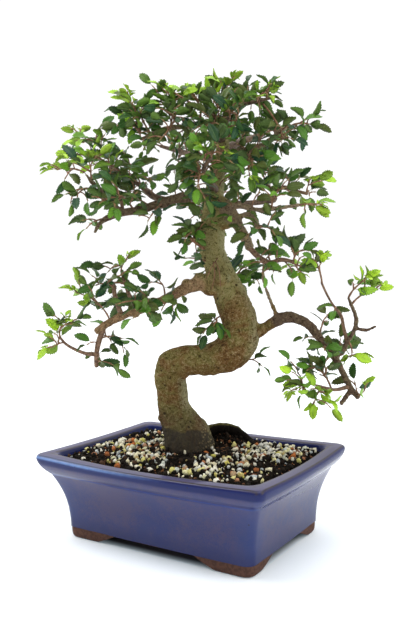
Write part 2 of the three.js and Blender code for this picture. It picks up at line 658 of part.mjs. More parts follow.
// A shoot in one skin with its leaves: its last ring is drawn out into the end leaf, and one
// face between the two rings of each node into a side leaf
function shootSolid(shoot) {
  const nodes = [...shoot.sideLeaves].sort((a, b) => a.share - b.share);
  const half = NODE_LENGTH / 2 / shoot.length;
  const nodeShares = nodes.flatMap(({ share }) => [share - half, share + half]);
  const shares = nodes.length ? [0, ...nodeShares, 1] : [0, 0.5, 1];
  const radii = shares.map((share) => THREE.MathUtils.lerp(SHOOT_RADIUS, SHOOT_TIP_RADIUS, share));
  const middles = shares.map((share) => shoot.curve.getPoint(share));
  const rings = limbRings(middles, radii, SHOOT_SIDES);
  const points = [...rings.flat(), middles[0]];
  const faces = [];
  const openings = nodes.map((node, k) => {
    const low = (2 * k + 1) * SHOOT_SIDES;
    const facing = Array.from({ length: SHOOT_SIDES }, (_, i) => {
      const edge = points[low + i].clone().add(points[low + ((i + 1) % SHOOT_SIDES)]).multiplyScalar(0.5);
      return edge.sub(middles[2 * k + 1]).dot(node.direction);
    });
    return { row: 2 * k + 1, column: facing.indexOf(Math.max(...facing)) };
  });
  for (let i = 0; i < SHOOT_SIDES; i++) {
    const next = (i + 1) % SHOOT_SIDES;
    for (let row = 0; row < rings.length - 1; row++) {
      const low = row * SHOOT_SIDES;
      const high = low + SHOOT_SIDES;
      const k = openings.findIndex((o) => o.row === row && o.column === i);
      if (k >= 0) growLeaf(points, faces, [low + i, low + next, high + next, high + i], nodes[k]);
      else faces.push([low + i, low + next, high + next], [low + i, high + next, high + i]);
    }
    faces.push([rings.length * SHOOT_SIDES, next, i]);
  }
  const end = Array.from({ length: SHOOT_SIDES }, (_, i) => (rings.length - 1) * SHOOT_SIDES + i);
  if (shoot.endLeaf) growLeaf(points, faces, end, shoot.endLeaf);
  else faces.push(end);
  return solidOf(geometryFrom(points, faces));
}

function leafClearOfWood(leaf, shoot) {
  const middle = leaf.base.clone().addScaledVector(leaf.direction, 0.5 * leaf.length);
  const tip = leaf.base.clone().addScaledVector(leaf.direction, leaf.length);
  const start = leaf.base.clone().addScaledVector(leaf.direction, 0.2 * leaf.length);
  for (const w of woodStretches) {
    const far = w.radius + LEAF_CLEARANCE;
    if (distanceBetween(start, middle, w.a, w.b) < far + 0.24 * leaf.length) return false;
    if (distanceBetween(middle, tip, w.a, w.b) < far + 0.12 * leaf.length) return false;
  }
  return leaf.base.distanceTo(shoot.points[0]) > 2;
}

const boxOf = (solid) => {
  const { min, max } = solid.boundingBox();
  return new THREE.Box3(vec(min), vec(max));
};
const meet = (one, other) =>
  one.box.intersectsBox(other.box) && !one.solid.intersect(other.solid).isEmpty();
const asPiece = (family, solid, shoot) => ({ family, solid, shoot, box: boxOf(solid) });

// Gives a shoot its leaf number i in the first of its turned places that is clear of the others
function clearLeaf(shoot, i, others) {
  for (let n = 0; n < TRIES; n++) {
    const leaf = leafPlace(shoot, i, n);
    if (!leaf) return null;
    if (!leafClearOfWood(leaf, shoot)) continue;
    const room = asPiece(shoot.family, leafSolid(leaf, LEAF_CLEARANCE / 2, 0));
    const blade = asPiece(shoot.family, leafSolid(leaf, 0, PETIOLE_SHARE));
    const crosses = (p) =>
      p.family === shoot.family ? p.shoot === shoot && meet(blade, p) : meet(room, p);
    if (!others.some(crosses)) return leaf;
  }
  return null;
}

const bareShoots = shoots.map((shoot) => asPiece(shoot.family, shootSolid(shoot), shoot));
const leaves = [];
for (const shoot of shoots) {
  shoot.endLeaf = clearLeaf(shoot, 0, [...bareShoots, ...leaves]);
  if (shoot.endLeaf) leaves.push(asPiece(shoot.family, leafSolid(shoot.endLeaf, 0, PETIOLE_SHARE), shoot));
}
for (const shoot of shoots)
  for (let i = LEAF_STEP; shoot.length > i * LEAF_SPACING; i += LEAF_STEP) {
    const leaf = clearLeaf(shoot, i, [...bareShoots, ...leaves]);
    if (!leaf) continue;
    shoot.sideLeaves.push(leaf);
    leaves.push(asPiece(shoot.family, leafSolid(leaf, 0, PETIOLE_SHARE), shoot));
  }

const wood = wholeWood(0);
const woodRoom = wholeWood(CLEARANCE);

function largestBody(solid) {
  return solid.decompose().reduce((best, body) => (body.volume() > best.volume() ? body : best));
}

// One spray: its limbs, shoots and leaves in one solid, cut clear of the wood that carries it
function spraySolid(family) {
  const limbs = (SPRAYS[family].limbs ?? []).map((name) => woodLimb(LIMBS[name], 0));
  const grown = shoots.filter((shoot) => shoot.family === family).map(shootSolid);
  return largestBody(wasm.Manifold.union([...limbs, ...grown]).subtract(woodRoom));
}

// A level ring round the pot's shape, with rounded corners, bowed sides and a sagging edge
function potRing(out, height, radius, bow, sag) {
  const halfLength = BASE_HALF_LENGTH + out;
  const halfWidth = BASE_HALF_WIDTH + out;
  const cornerX = halfLength - radius;
  const cornerY = halfWidth - radius;
  const ring = [];
  for (let corner = 0; corner < 4; corner++) {
    const signX = corner === 0 || corner === 3 ? 1 : -1;
    const signY = corner < 2 ? 1 : -1;
    for (let k = 0; k < 3; k++) {
      const angle = ((corner * 2 + k) * Math.PI) / 4;
      const x = signX * cornerX + radius * Math.cos(angle);
      ring.push([x, signY * cornerY + radius * Math.sin(angle), height]);
    }
    const onLongSide = corner % 2 === 0;
    const shares = onLongSide ? [0.5, 0, -0.5] : [0];
    for (const share of shares) {
      const swell = 1 - share * share;
      const drop = height - sag * swell;
      const outward = (onLongSide ? LONG_SIDE_BOW : SHORT_SIDE_BOW) * bow * swell;
      if (onLongSide) ring.push([signX * share * cornerX, signY * (halfWidth + outward), drop]);
      else ring.push([signX * (halfLength + outward), 0, drop]);
    }
  }
  return ring.map(vec);
}

const rimShare = (height) => THREE.MathUtils.smoothstep(height, 40, RIM_HEIGHT);
const wallRing = ([height, out], inset, radius) =>
  potRing(out - inset, height, radius, 0.3 + 0.7 * rimShare(height), RIM_SAG * rimShare(height));
const outerRing = (row) => wallRing(row, 0, CORNER_RADIUS);
const innerRing = (row, inset) => wallRing(row, inset, INNER_CORNER_RADIUS);

// One L-shaped corner foot: shorter below than above, with its outer corner taken off
function footSolid(signX, signY) {
  const outline = (height, inset, shorten) => {
    const x = BASE_HALF_LENGTH - inset;
    const y = BASE_HALF_WIDTH - inset;
    const armX = BASE_HALF_LENGTH - FOOT_ARM_LONG + shorten;
    const armY = BASE_HALF_WIDTH - FOOT_ARM_SHORT + shorten;
    const innerX = BASE_HALF_LENGTH - FOOT_THICKNESS;
    const innerY = BASE_HALF_WIDTH - FOOT_THICKNESS;
    const corners = [
      [x, armY], [x, y - FOOT_CORNER_CUT], [x - FOOT_CORNER_CUT, y], [armX, y],
      [armX, innerY], [innerX, innerY], [innerX, armY],
    ];
    const ring = corners.map(([px, py]) => new THREE.Vector3(px * signX, py * signY, height));
    return signX * signY > 0 ? ring : ring.reverse();
  };
  const middleX = signX * (BASE_HALF_LENGTH - FOOT_THICKNESS / 2);
  const middleY = signY * (BASE_HALF_WIDTH - FOOT_THICKNESS / 2);
  const middle = (height) => new THREE.Vector3(middleX, middleY, height);
  const rings = FOOT_ROWS.map((row) => outline(...row));
  return solidOf(loft(rings, middle(0), middle(FOOT_ROWS[FOOT_ROWS.length - 1][0])));
}

function potSolid() {
  const rings = [...OUTER_WALL.map(outerRing), ...INNER_WALL.map((row) => innerRing(row, 0))];
  const below = new THREE.Vector3(0, 0, FOOT_HEIGHT);
  const shell = solidOf(loft(rings, below, new THREE.Vector3(0, 0, FLOOR_TOP)));
  const feet = [[1, 1], [-1, 1], [-1, -1], [1, -1]].map(([sx, sy]) => footSolid(sx, sy));
  const drains = [-1, 1].map((sign) => {
    const drain = new THREE.CylinderGeometry(DRAIN_RADIUS, DRAIN_RADIUS, 4 * FOOT_HEIGHT, 12);
    drain.rotateX(Math.PI / 2);
    drain.translate(sign * DRAIN_X, 0, FOOT_HEIGHT);
    return solidOf(drain);
  });
  return wasm.Manifold.union([shell, ...feet]).subtract(wasm.Manifold.union(drains));
}

// A square of drain mesh with four openings, laid over a drain hole
function screenSolid(sign) {
  const block = (size, x, y, depth) => {
    const box = new THREE.BoxGeometry(size, size, depth);
    box.translate(sign * DRAIN_X + x, y, FLOOR_TOP + CLEARANCE + SCREEN_THICKNESS / 2);
    return solidOf(box);
  };
  const opening = SCREEN_HALF / 2;
  const from = SCREEN_HALF / 3;
  const holes = [[1, 1], [-1, 1], [-1, -1], [1, -1]].map(([sx, sy]) =>
    block(opening, sx * from, sy * from, 3 * SCREEN_THICKNESS),
  );
  return block(2 * SCREEN_HALF, 0, 0, SCREEN_THICKNESS).subtract(wasm.Manifold.union(holes));
}

// Height of the soil at a place in the pot
function soilHeight(x, y) {
  const across = (x / (BASE_HALF_LENGTH + 10)) ** 2;
  const deep = (y / (BASE_HALF_WIDTH + 10)) ** 2;
  const near = new THREE.Vector3(x, y, 0).applyAxisAngle(UP, -TREE_TURN);
  const sideways = (near.x - HEAP.u) / HEAP.reachU;
  const onward = (near.y - HEAP.d) / HEAP.reachD;
  const mound = HEAP.height * Math.exp(-(sideways ** 2) - onward ** 2);
  return SOIL_EDGE + SOIL_CROWN * Math.max(0, 1 - across) * Math.max(0, 1 - deep) + mound;
}

// A rough grain: a stretched and turned octahedron with uneven corners
function grainSolid(index) {
  const x = (2 * draw(index, 3, 1) - 1) * (BASE_HALF_LENGTH - 1);
  const y = (2 * draw(index, 5, 2) - 1) * (BASE_HALF_WIDTH - 2);
  const radius = GRAIN_RADIUS * (0.8 + 0.5 * draw(index, 7, 3));
  const grain = new THREE.OctahedronGeometry(radius, 0);
  grain.scale(1, 0.75 + 0.3 * draw(index, 8, 1), 0.7 + 0.2 * draw(index, 8, 2));
  grain.rotateX(draw(index, 9, 1) * Math.PI);
  grain.rotateZ(draw(index, 9, 2) * Math.PI);
  grain.translate(x, y, soilHeight(x, y) + 0.25 * radius);
  return solidOf(grain);
}

function soilSolid() {
  const [, lip, high, low, floorRow] = INNER_WALL;
  const [above, ...rings] = [lip, high, low, floorRow].map((row) => innerRing(row, 3 * CLEARANCE));
  rings.reverse();
  rings[0].forEach((p) => (p.z += CLEARANCE));
  const share = (SOIL_EDGE - 1 - high[0]) / (lip[0] - high[0]);
  const edge = rings[rings.length - 1].map((p, i) => p.clone().lerp(above[i], share));
  rings.push(edge);
  const onSoil = (x, y) => new THREE.Vector3(x, y, soilHeight(x, y));
  for (const inner of SOIL_ROWS) rings.push(edge.map((p) => onSoil(p.x * inner, p.y * inner)));
  const floor = new THREE.Vector3(0, 0, FLOOR_TOP + CLEARANCE);
  const bed = solidOf(loft(rings, floor, onSoil(0, 0)));
  const grains = Array.from({ length: GRAIN_COUNT }, (_, i) => grainSolid(i + 1));
  const roots = solidOf(geometryOf(woodRoom).rotateZ(TREE_TURN));
  const screens = [-1, 1].map((sign) => {
    const side = 2 * SCREEN_HALF + 1;
    const room = new THREE.BoxGeometry(side, side, 2 * SCREEN_THICKNESS + 1.2);
    room.translate(sign * DRAIN_X, 0, FLOOR_TOP + CLEARANCE);
    return solidOf(room);
  });
  const hollows = wasm.Manifold.union([roots, ...screens]);
  return largestBody(wasm.Manifold.union([bed, ...grains]).subtract(hollows));
}

const GLAZE = new THREE.MeshStandardMaterial({ color: 0x2d3f7d, roughness: 0.2, metalness: 0 });
const MESH = new THREE.MeshStandardMaterial({ color: 0x2c2f2c, roughness: 0.6, metalness: 0 });
const EARTH = new THREE.MeshStandardMaterial({ color: 0x4a4238, roughness: 0.95, metalness: 0 });
const BARK = new THREE.MeshStandardMaterial({ color: 0x7d6e50, roughness: 0.85, metalness: 0 });
const LEAF = new THREE.MeshStandardMaterial({ color: 0x4b7d3c, roughness: 0.45, metalness: 0 });

function namedMesh(name, solid, material) {
  const mesh = new THREE.Mesh(geometryOf(solid), material);
  mesh.name = name;
  return mesh;
}

const holder = new THREE.Group();
holder.add(
  namedMesh("pot", potSolid(), GLAZE),
  namedMesh("drain_mesh_left", screenSolid(-1), MESH),
  namedMesh("drain_mesh_right", screenSolid(1), MESH),
  namedMesh("soil", soilSolid(), EARTH),
);

const tree = new THREE.Group();
tree.rotation.z = TREE_TURN;
tree.add(namedMesh("trunk", wood, BARK));
for (const family of Object.keys(SPRAYS)) tree.add(namedMesh(`spray_${family}`, spraySolid(family), LEAF));

// The origin is the middle of the underside of the whole part's box
const bonsai = new THREE.Group();
bonsai.add(holder, tree);
bonsai.updateMatrixWorld(true);
const whole = new THREE.Box3().setFromObject(bonsai, true);
const middle = whole.getCenter(new THREE.Vector3());
bonsai.position.set(-middle.x, -middle.y, -whole.min.z);

const group = new THREE.Group();
group.add(bonsai);
export default group;
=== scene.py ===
# A Chinese elm bonsai in its blue glazed pot, dressed for a studio photograph.
# Lengths are in millimetres until a piece is made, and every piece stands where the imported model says.
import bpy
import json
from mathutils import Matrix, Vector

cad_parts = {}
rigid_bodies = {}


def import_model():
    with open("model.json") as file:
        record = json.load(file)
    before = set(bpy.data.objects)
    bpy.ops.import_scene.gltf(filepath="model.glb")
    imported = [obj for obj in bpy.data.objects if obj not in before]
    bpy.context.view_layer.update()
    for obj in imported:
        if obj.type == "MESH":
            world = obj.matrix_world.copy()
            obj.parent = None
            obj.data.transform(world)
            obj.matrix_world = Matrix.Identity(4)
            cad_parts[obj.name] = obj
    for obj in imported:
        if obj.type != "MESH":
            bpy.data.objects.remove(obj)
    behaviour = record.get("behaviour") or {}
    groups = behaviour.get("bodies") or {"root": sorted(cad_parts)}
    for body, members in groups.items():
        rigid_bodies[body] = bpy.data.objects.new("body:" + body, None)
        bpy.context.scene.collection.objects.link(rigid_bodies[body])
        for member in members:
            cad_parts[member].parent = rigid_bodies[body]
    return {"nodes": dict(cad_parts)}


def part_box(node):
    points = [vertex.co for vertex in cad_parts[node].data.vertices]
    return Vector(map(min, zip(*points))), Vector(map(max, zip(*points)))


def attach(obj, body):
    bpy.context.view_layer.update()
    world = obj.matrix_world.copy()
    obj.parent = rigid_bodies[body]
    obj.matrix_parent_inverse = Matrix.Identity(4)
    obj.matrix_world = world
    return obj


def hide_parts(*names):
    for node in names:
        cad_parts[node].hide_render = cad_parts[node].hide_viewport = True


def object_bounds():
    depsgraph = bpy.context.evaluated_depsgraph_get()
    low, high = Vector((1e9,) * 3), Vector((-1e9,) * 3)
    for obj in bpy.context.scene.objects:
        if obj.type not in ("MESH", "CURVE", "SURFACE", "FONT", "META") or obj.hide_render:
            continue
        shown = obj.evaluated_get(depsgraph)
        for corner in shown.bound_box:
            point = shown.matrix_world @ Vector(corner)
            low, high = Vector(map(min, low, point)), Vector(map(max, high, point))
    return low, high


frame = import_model()
cad_box = [list(corner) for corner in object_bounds()]

import json
import math
import bpy
import numpy as np
from mathutils import Matrix, Vector, kdtree, noise

# Pot
# One piece of stoneware, dipped in a cobalt glaze that stops above its four corner feet.
# Its flared walls are a skin over level rings, with drain holes through the floor.
MM = 0.001
pot_low, pot_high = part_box("pot")
POT_X = (pot_low[0] + pot_high[0]) / 2
POT_Y = (pot_low[1] + pot_high[1]) / 2
BASE_HALF_LENGTH = 95
BASE_HALF_WIDTH = 64
RIM_HEIGHT = 77
CORNER_RADIUS = 8.5
INNER_CORNER_RADIUS = 11.5
CORNER_STEPS = 6
LONG_SIDE_STEPS = 18
SHORT_SIDE_STEPS = 12
LONG_SIDE_BOW = 3
SHORT_SIDE_BOW = 1.5
RIM_SAG = 1.6
# Height of each ring of the outer wall, and how far it stands out from the base
OUTER_WALL = [
    (10, 0), (16, 0.2), (22, 0.7), (28, 1.4), (34, 2.5), (40, 4.0), (45, 5.6), (50, 7.5), (55, 9.7),
    (58, 11.2), (59.4, 12.0), (60.2, 13.1), (61.2, 14.0), (63, 15.6), (65, 17.1), (67.5, 18.6), (70, 19.7),
    (72, 20.3), (73.8, 20.6), (75.2, 20.4), (76.3, 19.7), (76.9, 18.7), (77, 17.4),
]
INNER_WALL = [
    (77, 14.5), (76.9, 11.2), (76.7, 9.2), (76.2, 7.9), (75.2, 7.0), (73, 6.4), (68, 5.2), (60, 3),
    (50, 0.2), (40, -3), (28, -5), (16, -7),
]
FOOT_ARM_LONG = 58
FOOT_ARM_SHORT = 43
FOOT_THICKNESS = 13
FOOT_ROUNDING = 2
FOOT_CORNER_ROUNDING = 9
# Height of each ring of a foot, how far it is set in, and how much its arms are shortened
FOOT_ROWS = [
    (0, 3.2, 25), (0.6, 2.1, 23), (1.6, 1.4, 20.5), (4, 1, 14.5), (7, 0.8, 8), (9.5, 0.8, 3), (12, 0.8, 0),
]
DRAIN_RADIUS = 7
DRAIN_X = 45
DRAIN_SIDES = 32
DRAIN_CUT = (4, 22)
SHARP_ANGLE = math.radians(38)
GLAZE_EDGE = 10
CREASE = 59.8
GROOVE = 62.8
# Where the glaze changes at the rim, and where a pale blue line is painted as a highlight along the front
# rim, in millimetres: heights, places out from the base, and widths
TOP_FACE, TOP_FACE_FADE = 76, 0.8
THIN_ABOVE = 74.5
INNER_LINE, INNER_LINE_WIDTH = 8.4, 1.1
OUTER_LINE, OUTER_LINE_WIDTH = 18.9, 0.8
CORNER_WIDTH = 13
HIGHLIGHT_LEVEL, HIGHLIGHT_WIDTH, HIGHLIGHT_BEYOND = 75.4, 1.0, 17
HIGHLIGHT_END, HIGHLIGHT_FADE = 30, 80


def full_turn(sides):
    """Equal angles once round."""
    return [2 * math.pi * k / sides for k in range(sides)]


def smooth_share(value, low, high):
    """0 below low, 1 above high, and a smooth rise between them."""
    share = min(1, max(0, (value - low) / (high - low)))
    return share * share * (3 - 2 * share)


def level_ring(out, height, radius, bow, sag):
    """Corners of the pot at one height: rounded corners, sides that bow out and an edge that sags."""
    corner_x = BASE_HALF_LENGTH + out - radius
    corner_y = BASE_HALF_WIDTH + out - radius
    ring = []
    for corner, (sign_x, sign_y) in enumerate([(1, 1), (-1, 1), (-1, -1), (1, -1)]):
        for k in range(CORNER_STEPS + 1):
            angle = (corner + k / CORNER_STEPS) * math.pi / 2
            x = sign_x * corner_x + radius * math.cos(angle)
            ring.append((x, sign_y * corner_y + radius * math.sin(angle), height))
        on_long_side = corner % 2 == 0
        steps = LONG_SIDE_STEPS if on_long_side else SHORT_SIDE_STEPS
        for k in range(1, steps):
            share = 1 - 2 * k / steps
            swell = 1 - share * share
            drop = height - sag * swell
            if on_long_side:
                y = BASE_HALF_WIDTH + out + LONG_SIDE_BOW * bow * swell
                ring.append((sign_x * share * corner_x, sign_y * y, drop))
            else:
                x = BASE_HALF_LENGTH + out + SHORT_SIDE_BOW * bow * swell
                ring.append((sign_x * x, sign_y * share * corner_y, drop))
    return ring


def wall_ring(height, out, radius):
    """A ring of the pot's wall: straight and level low down, bowed and sagging at the rim."""
    rim = smooth_share(height, 40, RIM_HEIGHT)
    return level_ring(out, height, radius, 0.3 + 0.7 * rim, RIM_SAG * rim)


class Skin:
    """Points and faces of one piece as it is put together, with a material number for each face."""

    def __init__(self):
        self.points = []
        self.faces = []
        self.materials = []

    def add(self, points, faces, material=0):
        first = len(self.points)
        self.points.extend(tuple(p) for p in points)
        self.faces.extend(tuple(first + i for i in face) for face in faces)
        self.materials.extend([material] * len(faces))

    def loft(self, rings, material=0):
        """A closed skin over rings of equal length, with a flat face at each end."""
        count = len(rings[0])
        faces = []
        for r in range(len(rings) - 1):
            low = r * count
            for i in range(count):
                j = (i + 1) % count
                faces.append((low + i, low + j, low + count + j, low + count + i))
        faces.append(tuple(reversed(range(count))))
        last = (len(rings) - 1) * count
        faces.append(tuple(range(last, last + count)))
        self.add([p for ring in rings for p in ring], faces, material)

    def piece(self, name, materials, to_frame):
        """The finished object: its points in metres in the model's frame, at the origin."""
        mesh = bpy.data.meshes.new(name)
        mesh.from_pydata(to_frame(np.array(self.points, dtype=float)).tolist(), [], self.faces)
        for material in materials:
            mesh.materials.append(material)
        mesh.polygons.foreach_set("material_index", self.materials)
        mesh.polygons.foreach_set("use_smooth", [True] * len(mesh.polygons))
        mesh.update()
        obj = bpy.data.objects.new(name, mesh)
        bpy.context.scene.collection.objects.link(obj)
        return obj


def pot_frame(points):
    """Points round the pot's middle, in millimetres, to the model's frame."""
    return points * MM + np.array([POT_X, POT_Y, 0])


def rounded(corners):
    """A polygon with each corner (x, y, radius) replaced by five points of a small curve."""
    ring = []
    places = [np.array(corner[:2], dtype=float) for corner in corners]
    for i, (here, corner) in enumerate(zip(places, corners)):
        before = places[i - 1] - here
        after = places[(i + 1) % len(places)] - here
        start = before / np.linalg.norm(before) * corner[2]
        end = after / np.linalg.norm(after) * corner[2]
        ring += [here + start * (1 - t) ** 2 + end * t * t for t in (0, 0.25, 0.5, 0.75, 1)]
    return ring


def foot_skin(sign_x, sign_y):
    """One L-shaped foot: its arms rise to the wall in long slopes, and its outer corner is rounded."""
    rings = []
    for height, inset, shorten in FOOT_ROWS:
        x = BASE_HALF_LENGTH - inset
        y = BASE_HALF_WIDTH - inset
        arm_x = BASE_HALF_LENGTH - FOOT_ARM_LONG + shorten
        arm_y = BASE_HALF_WIDTH - FOOT_ARM_SHORT + shorten
        inner_x = BASE_HALF_LENGTH - FOOT_THICKNESS
        inner_y = BASE_HALF_WIDTH - FOOT_THICKNESS
        small, large = FOOT_ROUNDING, FOOT_CORNER_ROUNDING
        corners = [
            (x, arm_y, small), (x, y, large), (arm_x, y, small),
            (arm_x, inner_y, small), (inner_x, inner_y, small), (inner_x, arm_y, small),
        ]
        ring = [(px * sign_x, py * sign_y, height) for px, py in rounded(corners)]
        rings.append(ring if sign_x * sign_y > 0 else ring[::-1])
    skin = Skin()
    skin.loft(rings)
    return skin


class Sum:
    """A number that changes over a surface. Arithmetic on it adds Math nodes to its material."""

    def __init__(self, maker, socket):
        self.maker = maker
        self.socket = socket

    def math(self, operation, *others):
        return self.maker.node("ShaderNodeMath", {"operation": operation}, dict(enumerate((self, *others))))

    def __add__(self, other):
        return self.math("ADD", other)

    def __sub__(self, other):
        return self.math("SUBTRACT", other)

    def __rsub__(self, other):
        return self.maker.node("ShaderNodeMath", {"operation": "SUBTRACT"}, {0: other, 1: self})

    def __mul__(self, other):
        return self.math("MULTIPLY", other)

    def __truediv__(self, other):
        return self.math("DIVIDE", other)

    def __gt__(self, other):
        return self.math("GREATER_THAN", other)

    __radd__ = __add__
    __rmul__ = __mul__

    def rise(self, low, high):
        """0 below low, 1 above high, and a smooth rise between them."""
        settings = {"interpolation_type": "SMOOTHSTEP"}
        return self.maker.node("ShaderNodeMapRange", settings, {0: self, 1: low, 2: high})


class Finish:
    """A material and the nodes that give it its colour, gloss and relief."""

    def __init__(self, name, **fixed):
        self.material = bpy.data.materials.new(name)
        self.material.use_nodes = True
        self.tree = self.material.node_tree
        self.shader = self.tree.nodes["Principled BSDF"]
        for socket, value in fixed.items():
            self.shader.inputs[socket.replace("_", " ")].default_value = value

    def feed(self, socket, value):
        if isinstance(value, Sum):
            self.tree.links.new(value.socket, socket)
        else:
            socket.default_value = value

    def node(self, kind, settings=None, values=None, output=0):
        """Any node: its settings first, then the values or links of its sockets."""
        node = self.tree.nodes.new(kind)
        for key, value in (settings or {}).items():
            if key == "stops":
                for k, (place, colour) in enumerate(value):
                    stop = node.color_ramp.elements[k] if k < 2 else node.color_ramp.elements.new(place)
                    stop.position = place
                    stop.color = (*colour, 1)
            else:
                setattr(node, key, value)
        for key, value in (values or {}).items():
            self.feed(node.inputs[key], value)
        return Sum(self, node.outputs[output])

    def place(self, part="Object"):
        """Where a point is on its piece: Object coordinates or the UV map."""
        return self.node("ShaderNodeTexCoord", None, None, part)

    def axis(self, place, letter):
        return self.node("ShaderNodeSeparateXYZ", None, {0: place}, letter)

    def noise(self, place, scale, detail=3.0, roughness=0.55, distortion=0.0):
        values = {"Vector": place, "Scale": scale, "Detail": detail, "Roughness": roughness}
        return self.node("ShaderNodeTexNoise", None, {**values, "Distortion": distortion})

    def cells(self, place, scale, output=0):
        return self.node("ShaderNodeTexVoronoi", None, {"Vector": place, "Scale": scale}, output)

    def mix(self, share, one, other):
        """A colour between two others."""
        one, other = ((*tint, 1) if isinstance(tint, tuple) else tint for tint in (one, other))
        return self.node("ShaderNodeMix", {"data_type": "RGBA"}, {0: share, 6: one, 7: other}, 2)

    def own(self, name):
        """A number that the piece's own attribute holds."""
        return self.node("ShaderNodeAttribute", {"attribute_name": name}, None, 2)

    def wear(self, colour=None, roughness=None, relief=None, strength=0.3, depth=0.001):
        """Feeds the finished colour, roughness and relief to the surface."""
        if colour is not None:
            self.feed(self.shader.inputs["Base Color"], colour)
        if roughness is not None:
            self.feed(self.shader.inputs["Roughness"], roughness)
        if relief is not None:
            values = {"Strength": strength, "Distance": depth, "Height": relief}
            self.feed(self.shader.inputs["Normal"], self.node("ShaderNodeBump", None, values))
        return self.material


WALL_BLUE = (0.007, 0.015, 0.1)
WALL_VIOLET = (0.032, 0.025, 0.085)
BAND_BLUE = (0.002, 0.008, 0.08)
CREASE_BLUE = (0.02, 0.05, 0.22)
CORNER_BLUE = (0.004, 0.022, 0.12)
POOL_BLUE = (0.002, 0.006, 0.07)
HIGH_VIOLET = (0.07, 0.055, 0.13)
LIP_VIOLET = (0.06, 0.055, 0.12)
THIN_GLAZE = (0.035, 0.026, 0.018)
PAINTED_HIGHLIGHT_BLUE = (0.18, 0.3, 0.6)
PIN_HOLE = (0.008, 0.008, 0.02)
FIRED_CLAY = (0.1, 0.048, 0.034)
CLAY_DARK = (0.06, 0.03, 0.022)


def glaze_finish():
    glaze = Finish("cobalt_glaze", Roughness=0.7, Specular_IOR_Level=0.1, Coat_IOR=1.45, Coat_Roughness=0.05)
    place = glaze.place()
    height = glaze.axis(place, "Z") / MM
    cloud = glaze.noise(place, 22.0, 4.0)
    streaks = glaze.noise(place, 160.0, 3.0)
    specks = glaze.noise(place, 900.0, 2.0, 0.7)
    wall = glaze.mix((cloud * 0.5 + streaks * 0.25 + specks * 0.35).rise(0.46, 0.66), WALL_BLUE, WALL_VIOLET)
    wall = glaze.mix(glaze.own("corner") * 0.75, wall, CORNER_BLUE)
    wall = glaze.mix((height + cloud * 6).rise(30, 14) * 0.75, wall, POOL_BLUE)
    wall = glaze.mix((height + cloud * 10).rise(38, 62) * 0.18, wall, HIGH_VIOLET)
    band = (height + cloud * 3).rise(69, 71.5)
    glazed = glaze.mix(band, wall, BAND_BLUE)
    crease = (height - CREASE).math("ABSOLUTE").rise(1.5, 0.2)
    glazed = glaze.mix(crease * 0.7, glazed, CREASE_BLUE)
    groove = (height - GROOVE).math("ABSOLUTE").rise(1.1, 0.3)
    glazed = glaze.mix(groove * 0.6, glazed, BAND_BLUE)
    glazed = glaze.mix(glaze.own("lip"), glazed, LIP_VIOLET)
    glazed = glaze.mix(glaze.own("thin") * (0.5 + streaks * 0.8), glazed, THIN_GLAZE)
    # Painted highlight: a streaked pale blue line along the upper edge of the front rim, where a lamp's
    # reflection would fall
    glazed = glaze.mix(glaze.own("pale") * (0.5 + streaks * 0.6), glazed, PAINTED_HIGHLIGHT_BLUE)
    pins = glaze.cells(place, 38.0).rise(0.035, 0.02)
    glazed = glaze.mix(pins * 0.9, glazed, PIN_HOLE)
    clay = glaze.mix(glaze.noise(place, 400.0).rise(0.4, 0.65), FIRED_CLAY, CLAY_DARK)
    covered = (height + glaze.noise(place, 45.0, 2.0) * 1.6 - 0.8).rise(GLAZE_EDGE - 0.3, GLAZE_EDGE + 0.3)
    glaze.feed(glaze.shader.inputs["Coat Weight"], covered * (0.74 - band * 0.3))
    grit = glaze.noise(place, 700.0, 2.0) * (1 - covered)
    relief = covered * 0.6 + cloud * 0.25 + grit
    return glaze.wear(glaze.mix(covered, clay, glazed), None, relief, 0.35, 0.0006)


def on_the_lip(points):
    """How far points lie outside the pot's base and their height, with its bows and sag taken out."""
    x = np.abs(points[:, 0] / MM - POT_X / MM)
    y = np.abs(points[:, 1] / MM - POT_Y / MM)
    beyond_x = x - BASE_HALF_LENGTH
    beyond_y = y - BASE_HALF_WIDTH
    on_long_side = beyond_y > beyond_x
    share = np.where(on_long_side, x / (BASE_HALF_LENGTH + 8), y / (BASE_HALF_WIDTH + 8))
    swell = np.clip(1 - share ** 2, 0, 1)
    bow = np.where(on_long_side, LONG_SIDE_BOW, SHORT_SIDE_BOW) * swell
    return np.maximum(beyond_x, beyond_y) - bow, points[:, 2] / MM + RIM_SAG * swell


def keep_shape(obj):
    """Makes what a piece's modifiers show its plain mesh."""
    bpy.context.view_layer.update()
    made = bpy.data.meshes.new_from_object(obj.evaluated_get(bpy.context.evaluated_depsgraph_get()))
    obj.modifiers.clear()
    obj.data = made


def points_of(mesh):
    """A mesh's points, one in each row."""
    flat = np.empty(len(mesh.vertices) * 3)
    mesh.vertices.foreach_get("co", flat)
    return flat.reshape(-1, 3)


def give_own(obj, **numbers):
    """Stores numbers on a piece's points, for its material to read."""
    for name, values in numbers.items():
        obj.data.attributes.new(name, "FLOAT", "POINT").data.foreach_set("value", values)


def cut_or_join(obj, tools, operation):
    """Cuts the tools out of a piece, or joins them to it."""
    for tool in tools:
        step = obj.modifiers.new("step", "BOOLEAN")
        step.operation = operation
        step.solver = "EXACT"
        step.object = tool
    keep_shape(obj)
    for tool in tools:
        bpy.data.objects.remove(tool)


